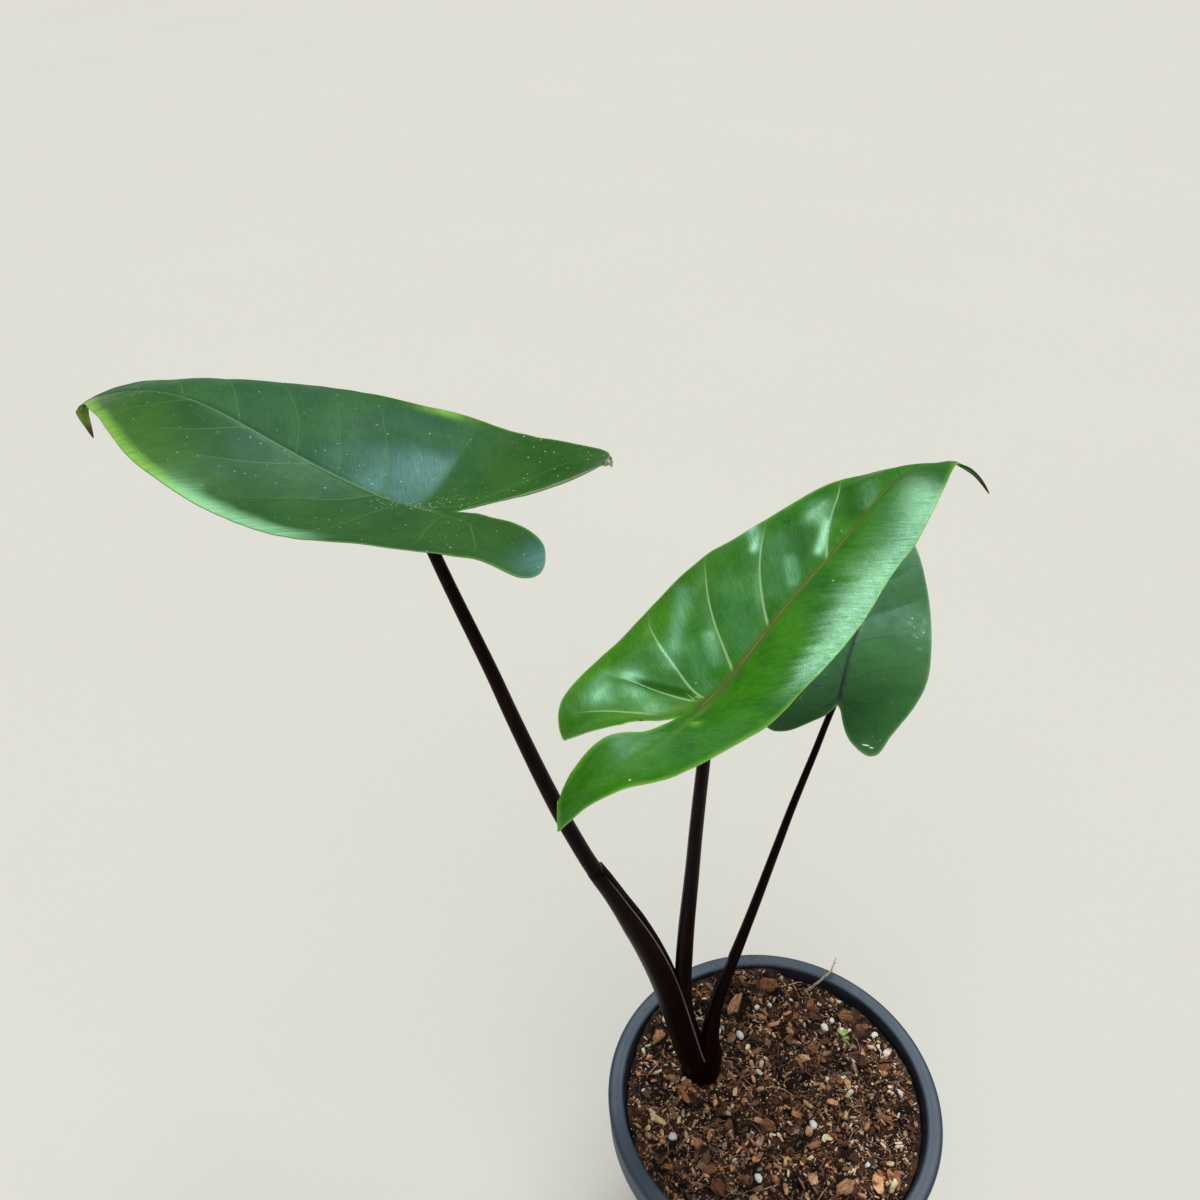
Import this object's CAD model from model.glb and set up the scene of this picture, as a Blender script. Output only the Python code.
# A young black-stemmed giant taro in a round nursery pot.
# Metres in the scene; the numbers below are in millimetres, in the same frame as the CAD:
# the origin is the centre of the pot's underside, +Z is up and the camera looks towards +Y.
import math
import bpy
import numpy as np
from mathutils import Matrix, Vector
from mathutils.bvhtree import BVHTree
from mathutils.geometry import delaunay_2d_cdt


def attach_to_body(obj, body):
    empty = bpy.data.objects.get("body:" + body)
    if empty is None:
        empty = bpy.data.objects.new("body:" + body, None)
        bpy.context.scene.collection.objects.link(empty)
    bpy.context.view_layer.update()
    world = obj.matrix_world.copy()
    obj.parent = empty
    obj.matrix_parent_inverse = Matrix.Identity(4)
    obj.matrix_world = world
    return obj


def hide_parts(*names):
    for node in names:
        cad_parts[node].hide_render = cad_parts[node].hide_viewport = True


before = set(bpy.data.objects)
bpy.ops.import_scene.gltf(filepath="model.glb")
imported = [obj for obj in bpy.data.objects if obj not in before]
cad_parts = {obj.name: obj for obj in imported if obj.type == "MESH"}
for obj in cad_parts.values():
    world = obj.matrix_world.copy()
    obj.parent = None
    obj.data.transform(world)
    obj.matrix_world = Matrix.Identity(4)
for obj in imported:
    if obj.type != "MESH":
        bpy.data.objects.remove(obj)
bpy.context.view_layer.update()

MM = 0.001
scene = bpy.context.scene

# ---------------------------------------------------------------- camera
camera_data = bpy.data.cameras.new("camera")
camera_data.lens = 33.0
camera_data.sensor_width = 36.0
camera_data.clip_start = 0.01
camera = bpy.data.objects.new("camera", camera_data)
camera.location = (-0.063, -0.218, 0.485)
camera.rotation_euler = (math.radians(54.0), 0.0, 0.0)
scene.collection.objects.link(camera)
scene.camera = camera

# ---------------------------------------------------------------- the part's own numbers
# kind, x, y, length, width, height, turns about X, Y and Z, depth in the mix, seed
GRAINS = [
  ["perlite", -17.6, 29.1, 4.4, 3.4, 3.6, -0.17, 0.22, 0.62, 1.26, 11],
  ["perlite", -8.7, 28.1, 4.2, 3.2, 3.2, 0.25, -0.01, 1.84, 1.12, 18],
  ["perlite", -1, 39, 2.6, 2.2, 2, 0.16, 0.01, 0.89, 0.70, 25],
  ["perlite", 4, 39.7, 2.6, 2, 2, -0.19, -0.25, 2.22, 0.70, 32],
  ["perlite", 24.4, 41.2, 3.6, 2.6, 2.6, -0.04, -0.21, 2.64, 0.91, 39],
  ["perlite", 27.8, 33.6, 2.8, 2.3, 2.2, -0.14, -0.05, 0.89, 0.77, 46],
  ["perlite", 24.5, 31.1, 4.6, 3.6, 3.4, 0.08, 0.05, 1.80, 1.19, 53],
  ["perlite", 30.6, 29.6, 3.2, 2.5, 2.4, -0.14, -0.13, 0.76, 0.84, 60],
  ["perlite", 34, 29.5, 2.5, 2.1, 2, -0.10, -0.21, 0.50, 0.70, 67],
  ["perlite", 42.7, 26.5, 4.2, 3.3, 3.2, 0.28, 0.28, 0.57, 1.12, 74],
  ["perlite", 43.5, 21.6, 2.8, 2.3, 2.2, -0.29, -0.18, 2.10, 0.77, 81],
  ["perlite", 14, -8, 4.2, 3.2, 3, 0.17, -0.29, 1.73, 1.05, 88],
  ["perlite", -8, -27, 3.8, 3, 2.8, -0.30, 0.01, 1.92, 0.98, 95],
  ["perlite", 31, -22, 3.4, 2.6, 2.6, 0.29, -0.14, 2.41, 0.91, 102],
  ["perlite", -37, -12, 4, 3.2, 3, 0.22, 0.25, 0.01, 1.05, 109],
  ["perlite", 6, -42, 3, 2.4, 2.2, -0.02, 0.29, 1.20, 0.77, 116],
  ["bark_chip", -9.8, 39.5, 11.5, 4.6, 3.4, 0.09, 0.02, 1.05, 1.36, 123],
  ["bark_chip", -40.2, 26, 8.5, 5, 3, 0.08, -0.01, 1.20, 1.20, 130],
  ["bark_chip", 4.1, 47.2, 9.5, 7, 4.5, -0.14, -0.17, -0.40, 1.80, 137],
  ["bark_chip", 21, 35.9, 5.5, 3.4, 2.6, -0.12, -0.10, -0.70, 1.04, 144],
  ["bark_chip", 33.2, 34.9, 8, 5.2, 3.2, 0.14, 0.05, -0.30, 1.28, 151],
  ["bark_chip", 38.7, 30.1, 6.5, 4, 2.4, 0.09, 0.03, 0.20, 0.96, 158],
  ["bark_chip", 22, -30, 9, 5, 3.2, 0.04, 0.12, 0.60, 1.28, 165],
  ["bark_chip", -22, -30, 8, 5.5, 3, 0.13, 0.17, -0.90, 1.20, 172],
  ["bark_chip", -2, -8, 7, 4.2, 2.8, 0.10, -0.16, 2.20, 1.12, 179],
]

ROOTLET = [
  [17.5, 47.7, 96.9], [19.7, 47.1, 98.6], [21.2, 46.6, 101], [22.8, 46.6, 103.5], [24.7, 47.1, 105.5],
  [27, 48.3, 106.8], [29.2, 50.2, 107.3], [30.5, 52.6, 108.2], [31.8, 55, 109],
]

SEEDLING = [[32.6, 22.8, 96.8], [32.4, 23, 99.2], [31.1, 23.2, 101.4], [30, 23.2, 103.7], [28.8, 23.2, 105.9]]

STALKS = {
  "left": {
    "facing": [1, 0, 0],
    "stations": 34,
    "path": [
      [-26, 14, 86.5], [-26.2, 14, 99.9], [-29.7, 14.1, 113], [-32.8, 14.1, 126.2], [-36, 14.1, 139.3],
      [-39.5, 14.1, 152.3], [-43.6, 13.9, 165.1], [-48.3, 13.5, 177.8], [-53.6, 13, 190.2], [-59.2, 12.4, 202.4],
      [-65.1, 11.6, 214.5], [-70.2, 11.4, 227], [-75.1, 11.6, 239.6], [-79.6, 12, 252.3], [-83.9, 12.6, 265],
      [-88.2, 13.5, 277.8], [-92.3, 14.3, 290.6], [-96.7, 15.2, 303.3], [-101.2, 16.2, 316], [-105.5, 17.2, 328.7],
      [-109.7, 18.3, 341.5],
    ],
    "radius": [[86, 6.1], [104, 6.1], [125, 6.0], [150, 5.6], [168, 5.2], [184, 4.7], [194, 3.9], [203, 3.3], [214, 2.75], [240, 2.5], [290, 2.0], [345, 1.55]],
    "channel": [[150, 1], [184, 0.9], [197, 0.5], [205, 0]],
    "halfGap": [[96, 42], [125, 48], [150, 58], [200, 62]],
    "wall": [[96, 1.4], [150, 1.6], [184, 2.0]],
  },
  "middle": {
    "facing": [1, 0.3, 0],
    "stations": 16,
    "path": [
      [-26, 14, 86.5], [-26.4, 14, 100.7], [-28.9, 14.1, 114.8], [-31.6, 13.9, 128.9], [-33.4, 13.7, 143],
      [-34.2, 13.4, 157.3], [-34.4, 13.1, 171.5], [-34.4, 12.6, 185.8], [-34.2, 12, 200.1], [-34, 11.5, 214.3],
      [-33.9, 11, 228.6], [-33.7, 10.4, 242.8], [-33.4, 9.9, 257.1], [-33.1, 9.2, 271.4], [-32.3, 8.6, 285.6],
    ],
    "radius": [[86, 3.0], [130, 3.0], [170, 2.85], [220, 2.2], [287, 1.75]],
    "channel": [[86, 0], [300, 0]],
    "halfGap": [[86, 62]],
    "wall": [[86, 1.5]],
  },
  "right": {
    "facing": [-1, -0.1, 0],
    "stations": 24,
    "path": [
      [-25.8, 14.2, 84.5], [-25.6, 14.4, 96.2], [-23.5, 15.3, 107.7], [-22.1, 18.8, 118.8], [-20, 22.3, 129.8],
      [-16.9, 25.3, 140.6], [-13.5, 28.4, 151.4], [-10.2, 31.6, 162.2], [-7, 34.8, 173], [-3.8, 38.3, 183.7],
      [-0.6, 41.7, 194.5], [2.6, 45.1, 205.2], [6.1, 48.6, 215.8], [9.6, 52, 226.4], [13, 55.5, 237.1],
      [16.7, 58.8, 247.7],
    ],
    "radius": [[84, 7.9], [100, 7.7], [107, 6.3], [114, 3.9], [124, 2.9], [135, 2.7], [142, 2.2], [160, 1.8], [200, 1.4], [248, 1.0]],
    "channel": [[84, 1], [128, 1], [142, 0.35], [148, 0]],
    "halfGap": [[84, 95], [98, 95], [106, 102], [112, 80], [118, 55], [150, 60]],
    "wall": [[84, 1.1], [106, 1.2], [124, 1.5]],
  },
}

LEAVES = {
  "left": {
    "tailHalfWidth": 1.645,
    "tail": [[-218.8, 85.4, 337.7], [-219.5, 84.8, 336], [-219, 83.6, 334.3], [-217.3, 81.1, 332.5], [-215, 77.6, 330.3]],
    "halves": [
      {
        "sign": -1,
        "split": 0.5883,
        "outer": [
          [1, -0.0125], [0.9338, -0.0173], [0.8757, -0.0575], [0.819, -0.1006], [0.7562, -0.1316],
          [0.6909, -0.1538], [0.6254, -0.1709], [0.5614, -0.1888], [0.4998, -0.2115], [0.4398, -0.2316],
          [0.3811, -0.2502], [0.3243, -0.2692], [0.2672, -0.2818], [0.211, -0.2914], [0.1568, -0.3019],
          [0.1036, -0.308], [0.0518, -0.3081], [0.0016, -0.3042], [-0.0471, -0.3048], [-0.0943, -0.3065],
          [-0.1396, -0.3077], [-0.1827, -0.3046], [-0.2226, -0.2963], [-0.2582, -0.2813], [-0.2877, -0.2589],
          [-0.3112, -0.2312], [-0.3332, -0.2033], [-0.3534, -0.1762], [-0.3718, -0.1503], [-0.3883, -0.1267],
          [-0.402, -0.1066],
        ],
        "inner": [
          [-0.1013, -0.0024], [-0.1208, -0.0321], [-0.1435, -0.0568], [-0.1691, -0.0759], [-0.1978, -0.0885],
          [-0.2288, -0.095], [-0.2612, -0.0989], [-0.2945, -0.1018], [-0.3249, -0.1015], [-0.352, -0.0987],
          [-0.3748, -0.0938], [-0.3924, -0.0905], [-0.4034, -0.0908], [-0.4062, -0.0984], [-0.402, -0.1066],
        ],
      },
      {
        "sign": 1,
        "split": 0.6072,
        "outer": [
          [1, 0.0125], [0.9321, 0.0254], [0.8666, 0.0522], [0.803, 0.0797], [0.7401, 0.1053],
          [0.6801, 0.1333], [0.6207, 0.1592], [0.5622, 0.1832], [0.5032, 0.2014], [0.4445, 0.2151],
          [0.3871, 0.2287], [0.331, 0.2411], [0.2762, 0.2528], [0.2227, 0.2639], [0.1709, 0.2755],
          [0.1207, 0.2872], [0.0719, 0.297], [0.0246, 0.3029], [-0.0208, 0.2998], [-0.0634, 0.2876],
          [-0.1023, 0.268], [-0.141, 0.2491], [-0.1769, 0.2277], [-0.2117, 0.2085], [-0.2471, 0.1966],
          [-0.2813, 0.1903], [-0.3144, 0.1946], [-0.3448, 0.2019], [-0.3711, 0.2053], [-0.3905, 0.1987],
          [-0.3991, 0.1834],
        ],
        "inner": [
          [-0.1015, -0.0022], [-0.1377, 0.0068], [-0.1704, 0.0215], [-0.2007, 0.0387], [-0.2303, 0.0545],
          [-0.2602, 0.0667], [-0.2892, 0.077], [-0.3161, 0.0878], [-0.3406, 0.0988], [-0.3616, 0.1108],
          [-0.3778, 0.1248], [-0.3879, 0.1414], [-0.3951, 0.1574], [-0.3987, 0.172], [-0.3991, 0.1834],
        ],
      },
    ],
    "ctrl": [
      [[18.9, 65.2, 433], [-4.1, 30.4, 378.4], [-9, 22.7, 413.5], [2.1, -44.2, 368.8],
        [-13.2, 3.9, 423.3], [4.3, -65.5, 343.9], [-31.1, -65.5, 357.9], [-16.2, -104.9, 334], [-61.3, -96.9, 361.6]],
      [[-9.8, 61.5, 348.9], [-15.7, 45.4, 377.6], [-32.7, 27.8, 378.1], [-42.5, 13.4, 394.8],
        [-35.5, -27.2, 349.6], [-52.8, -31.8, 354.7], [-51.8, -64, 343.6], [-64.5, -79.7, 350.3], [-55.5, -106.6, 344.1]],
      [[-20.9, 67.5, 342.4], [-37.3, 52, 337.2], [-43.5, 33.6, 354.4], [-57, 13.4, 355.6],
        [-70.8, -0.6, 369.9], [-75.6, -25.6, 348.3], [-90.9, -44.5, 358.5], [-85.4, -64.9, 355.1], [-103.2, -83.9, 355.6]],
      [[-49.2, 86.2, 337.2], [-55.8, 60.6, 341.1], [-72.9, 50.2, 349.8], [-80.4, 28.1, 337.7],
        [-94.8, 8.1, 343.3], [-105.5, -9.7, 349], [-115.7, -26.8, 363.1], [-128.6, -48.8, 353.5], [-131.2, -70.8, 355.8]],
      [[-74.6, 98.9, 342.7], [-88.5, 90.8, 351.4], [-97.4, 62.4, 348.2], [-110.5, 45.4, 343.4],
        [-120, 25.5, 339], [-132.8, 4.4, 345.4], [-143.4, -12.3, 354.4], [-155.7, -37.5, 350], [-168.3, -53.8, 351.3]],
      [[-107.5, 115.4, 332.5], [-116.5, 89.7, 333.1], [-126.7, 81.7, 347.1], [-136, 57.8, 356.2],
        [-148.9, 40.4, 347.8], [-159.7, 21.6, 343.9], [-170.8, 0.6, 350.3], [-181.5, -14.7, 351], [-191.3, -37.5, 350.1]],
      [[-132.2, 118.6, 316.7], [-144, 107, 331.8], [-153.1, 89.7, 338.5], [-164.4, 77.1, 353.3],
        [-176.2, 54.5, 360.9], [-187.7, 36.7, 348.8], [-199.1, 16.2, 350.5], [-207.3, -1.3, 347.4], [-218.8, -18.3, 348.3]],
      [[-158.7, 133.1, 307.7], [-167.2, 118.3, 317], [-180.6, 98.4, 324.1], [-188.5, 89.4, 343.8],
        [-204.1, 73.5, 350.4], [-212.5, 53, 343.8], [-227.2, 35.1, 341.5], [-235.4, 16.5, 340.5], [-246.4, -2.8, 337.6]],
      [[-179.3, 149.2, 296.2], [-191.9, 135.1, 313], [-201, 123.4, 324.2], [-212.6, 110.9, 345.1],
        [-225.1, 89, 335.8], [-238.9, 69, 327.6], [-242.7, 54.8, 330.3], [-258, 34.8, 327], [-264.7, 20.3, 329.4]],
      [[-204.7, 177, 312.4], [-213, 153.1, 302.7], [-224.9, 141, 322.5], [-236.9, 106.4, 308.6],
        [-238.5, 112.9, 304.3], [-241.6, 116.2, 321.9], [-274.1, 67.4, 311.2], [-270.9, 61.7, 319.3], [-300.3, 21.6, 303.3]],
    ],
  },
  "middle": {
    "tailHalfWidth": 0.8187,
    "tail": [[50.4, 90, 315.3], [54.1, 90.8, 313.1], [57.6, 90.8, 310.4], [60.3, 89.3, 307.5], [61.9, 87.6, 305.2]],
    "halves": [
      {
        "sign": 1,
        "split": 0.5738,
        "outer": [
          [1, 0.0067], [0.9383, 0.0488], [0.8777, 0.0939], [0.8137, 0.1279], [0.7512, 0.1589],
          [0.6851, 0.1737], [0.6194, 0.1861], [0.556, 0.2024], [0.4946, 0.2204], [0.435, 0.2377],
          [0.3787, 0.2574], [0.3221, 0.2682], [0.267, 0.2781], [0.2128, 0.2839], [0.16, 0.2892],
          [0.1085, 0.292], [0.0585, 0.2905], [0.01, 0.2882], [-0.0369, 0.2843], [-0.0818, 0.2769],
          [-0.1248, 0.2675], [-0.1657, 0.2564], [-0.2044, 0.2443], [-0.2399, 0.2298], [-0.2699, 0.2092],
          [-0.2948, 0.1845], [-0.3166, 0.1587], [-0.3369, 0.1346], [-0.3554, 0.1136], [-0.37, 0.0968],
          [-0.3781, 0.086],
        ],
        "inner": [
          [-0.0707, 0.0061], [-0.0883, 0.0234], [-0.1102, 0.0337], [-0.1336, 0.045], [-0.1576, 0.0619],
          [-0.1894, 0.0746], [-0.2217, 0.0707], [-0.2602, 0.0793], [-0.29, 0.0867], [-0.3102, 0.0873],
          [-0.3273, 0.0859], [-0.3457, 0.0865], [-0.3637, 0.0864], [-0.3747, 0.0838], [-0.3781, 0.086],
        ],
      },
      {
        "sign": -1,
        "split": 0.5189,
        "outer": [
          [1, -0.0067], [0.9432, -0.0558], [0.8783, -0.0974], [0.8079, -0.1254], [0.7355, -0.1428],
          [0.6634, -0.1526], [0.5923, -0.1507], [0.5232, -0.1568], [0.4562, -0.1681], [0.3908, -0.1795],
          [0.3266, -0.188], [0.2638, -0.1944], [0.2025, -0.2003], [0.1431, -0.2075], [0.0856, -0.2169],
          [0.0304, -0.229], [-0.0233, -0.2394], [-0.0759, -0.2441], [-0.1269, -0.2429], [-0.1755, -0.2335],
          [-0.2229, -0.2244], [-0.2688, -0.2162], [-0.3126, -0.2075], [-0.354, -0.1987], [-0.39, -0.1813],
          [-0.4193, -0.1566], [-0.4478, -0.1333], [-0.4732, -0.1094], [-0.4941, -0.0848], [-0.5176, -0.067],
          [-0.5313, -0.0497],
        ],
        "inner": [
          [-0.0758, 0.0067], [-0.1165, 0.0017], [-0.1512, -0.0167], [-0.1806, -0.0426], [-0.2111, -0.0644],
          [-0.2443, -0.0763], [-0.2773, -0.0792], [-0.3077, -0.0732], [-0.3323, -0.0543], [-0.3587, -0.0356],
          [-0.3872, -0.0216], [-0.4162, -0.0117], [-0.4441, -0.0043], [-0.4685, 0.0038], [-0.4898, 0.0029],
          [-0.5058, -0.0087], [-0.5184, -0.0235], [-0.5271, -0.0383], [-0.5313, -0.0497],
        ],
      },
    ],
    "ctrl": [
      [[86.2, -339.1, 60], [-119.9, -51, 507.1], [-26.7, -224.8, 182], [-202.4, -69.7, 377],
        [-75.6, 63.1, 236.1], [-55.3, -83.5, 103.3], [-143, -5.1, 385.5], [-77.1, -11.3, 240], [-214.2, 61.8, 467.2]],
      [[-49.3, -76.3, 443.5], [-35.7, -104.8, 320], [-62.3, -31.5, 320.8], [-76.9, -56.5, 318.2],
        [-75.8, -65.3, 238.6], [-108, -10.9, 354.5], [-90.3, 13.8, 242.7], [-119.9, 27.1, 316.6], [-92.6, 13.7, 268.6]],
      [[4.2, -71.8, 350.4], [-16.5, -27.5, 397.6], [-37.3, -45.6, 310.7], [-48, -33.6, 281.8],
        [-68.4, -2.5, 322.5], [-77.7, -21.6, 270.2], [-99.5, 25.8, 305.5], [-85.3, -34.7, 308.4], [-121.4, 45.7, 320.7]],
      [[10.6, -43.9, 373.5], [9.2, -48.3, 369.9], [-10.7, -25.7, 279.5], [-30, -3.2, 307.6],
        [-41.7, -6, 274.5], [-61.3, 17, 289.2], [-74.2, 19.8, 284.3], [-101.8, 67, 286.5], [-101.4, 50.5, 282.1]],
      [[25.7, -22.7, 372.3], [-38.4, -5.7, 490.6], [8.9, 21.7, 290.5], [-10.1, 0.9, 293.8],
        [-26.1, 15.8, 290.2], [-40.7, 33.5, 282.4], [-59.2, 48, 287.6], [-67.9, 71.6, 259.4], [-93.1, 78, 289.7]],
      [[47.8, -2.5, 341.5], [34.4, 27.5, 368], [24.6, 14.7, 296.7], [7, 25, 300.3],
        [-8.7, 40.8, 298.7], [-23.6, 53.9, 293.7], [-41.2, 65.2, 304.5], [-57.2, 57.6, 327.1], [-74, 84.2, 310.5]],
      [[71.8, 21, 301.8], [59.5, 27.8, 291.5], [45.7, 36.4, 282.2], [21.8, 36.8, 306.6],
        [11.2, 61.4, 302.2], [-6.1, 75.3, 307.9], [-20.6, 88.6, 305.2], [-48.6, 107, 318.3], [-53.6, 114.3, 314.7]],
      [[90.3, 47.2, 296.9], [71.4, 48.4, 303], [59.7, 60.7, 311.2], [44.8, 66.7, 316.4],
        [27.8, 82.3, 322.8], [18.7, 97, 307.1], [0.3, 117, 322.6], [-10.9, 125.3, 312.1], [-36.7, 141.3, 332.2]],
      [[80.6, 47.2, 308.2], [86, 63.3, 307.7], [74.7, 69.6, 319.9], [60.2, 67.9, 319.4],
        [57.8, 96.3, 318.1], [48.3, 113.3, 303.8], [38.5, 135.4, 294.5], [14.7, 144.6, 319], [11.4, 158.1, 306.5]],
      [[154.7, 73.5, 297.5], [65.5, 56.8, 319.7], [101.6, 82.5, 306.8], [59.8, 106.2, 209.1],
        [101.2, 80.6, 295.6], [85.7, 132.7, 350.8], [54.6, 136.1, 316.1], [66.9, 165.8, 296.9], [1.6, 160.2, 332.5]],
    ],
  },
  "right": {
    "tailHalfWidth": 0.5724,
    "tail": [[52.6, 143.1, 261.9], [54.1, 145.8, 262.3], [55.7, 147.8, 262.4], [57.2, 148.4, 262.5]],
    "halves": [
      {
        "sign": 1,
        "split": 0.6055,
        "outer": [
          [1, 0.006], [0.935, 0.0317], [0.8713, 0.0624], [0.8085, 0.0915], [0.7466, 0.1189],
          [0.6854, 0.1443], [0.625, 0.1676], [0.5654, 0.1887], [0.5065, 0.2074], [0.4485, 0.2239],
          [0.3915, 0.2381], [0.3354, 0.2501], [0.2805, 0.2598], [0.2266, 0.2674], [0.1741, 0.2729],
          [0.1228, 0.2763], [0.0729, 0.2779], [0.0244, 0.2775], [-0.0225, 0.2754], [-0.0679, 0.2717],
          [-0.1116, 0.2663], [-0.1536, 0.2594], [-0.1938, 0.251], [-0.232, 0.2411], [-0.268, 0.2299],
          [-0.3016, 0.2174], [-0.3321, 0.2039], [-0.3586, 0.1896], [-0.3795, 0.1755], [-0.3922, 0.1633],
          [-0.4004, 0.1516],
        ],
        "inner": [
          [-0.1003, 0.0001], [-0.1354, 0.0111], [-0.169, 0.0217], [-0.2015, 0.0321], [-0.2326, 0.0423],
          [-0.2623, 0.0525], [-0.2904, 0.0625], [-0.3167, 0.0725], [-0.3408, 0.0825], [-0.3624, 0.0919],
          [-0.3798, 0.1028], [-0.3918, 0.1159], [-0.399, 0.1295], [-0.4017, 0.142], [-0.4004, 0.1516],
        ],
      },
      {
        "sign": -1,
        "split": 0.6079,
        "outer": [
          [1, -0.006], [0.941, -0.0436], [0.8824, -0.085], [0.8236, -0.1232], [0.7638, -0.1569],
          [0.704, -0.1874], [0.644, -0.2138], [0.5836, -0.2349], [0.5231, -0.251], [0.4632, -0.2629],
          [0.4042, -0.2714], [0.3463, -0.2774], [0.2898, -0.2815], [0.2346, -0.2841], [0.1808, -0.2858],
          [0.1286, -0.2869], [0.0778, -0.2873], [0.0286, -0.2868], [-0.0191, -0.2848], [-0.0652, -0.2812],
          [-0.1096, -0.2759], [-0.152, -0.2686], [-0.1924, -0.2591], [-0.2303, -0.2465], [-0.2655, -0.2312],
          [-0.2988, -0.2156], [-0.3304, -0.2013], [-0.3612, -0.1915], [-0.3884, -0.182], [-0.4088, -0.1697],
          [-0.4186, -0.1529],
        ],
        "inner": [
          [-0.1015, -0.001], [-0.1362, -0.0143], [-0.1711, -0.0228], [-0.205, -0.0303], [-0.2375, -0.0381],
          [-0.2685, -0.046], [-0.2979, -0.0542], [-0.3252, -0.0629], [-0.35, -0.073], [-0.3712, -0.0855],
          [-0.3886, -0.1001], [-0.4026, -0.1147], [-0.4129, -0.1289], [-0.4184, -0.1421], [-0.4186, -0.1529],
        ],
      },
    ],
    "ctrl": [
      [[46.4, -35.5, 272.4], [46.5, -36, 256.3], [19.8, -27.5, 261.7], [10.5, -25.4, 253.3],
        [-12.6, -13, 267.3], [-25.4, -10.6, 258.4], [-44.5, -2.9, 266.7], [-57.4, 4.9, 263.1], [-78.8, 8.1, 264.3]],
      [[65, -17.4, 265.7], [44.9, -11, 265.8], [32.9, -7.7, 257.2], [12.5, -1.7, 255.3],
        [-2.9, 2.9, 254.1], [-20.8, 12.9, 264.6], [-34.6, 18.3, 259.7], [-51, 22.2, 256.6], [-65.1, 28.4, 253.4]],
      [[65.4, 6.9, 273.1], [51.9, 10.6, 265.7], [33.6, 16.9, 267.3], [20.4, 19.6, 255.6],
        [3.1, 27, 262.1], [-10.8, 31.9, 256.4], [-26.7, 34.7, 250.2], [-42.1, 41.9, 249.1], [-59.1, 46.6, 246.5]],
      [[73.9, 26.7, 265.1], [57.2, 32.8, 264.9], [42.4, 37.2, 260.3], [26.2, 42.9, 259.1],
        [13.6, 44.7, 244.7], [-3.7, 51.2, 246.9], [-18.5, 56.4, 243.9], [-36.1, 62.3, 244.4], [-50.8, 67.5, 243.3]],
      [[81.1, 46.7, 257.7], [65.6, 51.8, 254.3], [50.2, 58, 254.2], [34.9, 63, 251.6],
        [19, 68, 248.9], [4.1, 72.8, 245.2], [-11.8, 78.6, 247.7], [-27.1, 83, 247.1], [-43.5, 89.2, 248.4]],
      [[89.3, 64.1, 244.8], [74.1, 70.4, 244.7], [57.7, 75.9, 240.7], [42.5, 82.2, 241.2],
        [27, 88.9, 242.2], [11.7, 95.1, 246.3], [-3.4, 100.1, 251], [-18.5, 106.1, 252.8], [-33.6, 110.9, 254.9]],
      [[98, 83.9, 245.6], [81.9, 90.2, 244.1], [67, 97.6, 245.2], [51.3, 104.6, 243.3],
        [36.1, 110.1, 247.5], [21.1, 115.1, 252.3], [6.2, 121.3, 256], [-9.2, 126.7, 259], [-24.3, 133, 261.8]],
      [[105.8, 101.8, 248.9], [91.3, 108.6, 252], [74.9, 114.2, 252.6], [60.6, 120.4, 258.5],
        [45.7, 127.7, 258.7], [30.5, 134.5, 260.7], [15.3, 140.4, 263.2], [0.3, 146.9, 265.9], [-14.8, 152.5, 268.7]],
      [[116.7, 121.2, 257.6], [100.4, 127.8, 257.3], [86.2, 134.7, 260.6], [70.6, 142.6, 259.4],
        [55, 148.7, 262.5], [40.6, 154.4, 266.9], [25.1, 160.9, 269.7], [10, 166.6, 272.6], [-5.2, 173.3, 275.3]],
      [[124.4, 141.8, 257.9], [111.6, 147.8, 265.6], [94.7, 154.7, 263.3], [79, 159.7, 268.9],
        [65.4, 166.4, 270.6], [49.9, 175.2, 271.8], [35, 180.1, 276.3], [19.7, 187.5, 278.8], [4.9, 191.5, 282.3]],
    ],
  },
}

GAP = 0.3
POT_HEIGHT, RIM, LIP_INNER, BASE, FLOOR_INNER, FLOOR, WALL, SKIRT = 105, 60, 54.3, 43, 41.9, 1.6, 1.1, 13
HOLES, HOLE_RADIUS, HOLE_CIRCLE = 8, 4, 30
SOIL_LEVEL = 97.5
CROWN, CROWN_TOP = (-26.0, 14.0), 87.0
U_RANGE, V_RANGE = (-0.62, 1.06), (-0.52, 0.52)


# ---------------------------------------------------------------- numbers and curves
def smooth(a, b, x):
    t = np.clip((x - a) / (b - a), 0, 1)
    return t * t * (3 - 2 * t)


def table(rows, x):
    rows = np.array(rows, float)
    return np.interp(x, rows[:, 0], rows[:, 1])


def along(points, s, after=None):
    """Points on a Catmull-Rom curve through equally spaced points, s from 0 to 1."""
    p = np.asarray(points, float)
    n = len(p) - 1
    e = np.vstack([2 * p[0] - p[1], p, 2 * p[-1] - p[-2] if after is None else after])
    x = np.clip(np.asarray(s, float), 0, 1) * n
    i = np.minimum(x.astype(int), n - 1)
    t = (x - i)[:, None]
    a, b, c, d = e[i], e[i + 1], e[i + 2], e[i + 3]
    return 0.5 * (2 * b + (c - a) * t + (2 * a - 5 * b + 4 * c - d) * t * t + (3 * b - a - 3 * c + d) * t ** 3)


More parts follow.
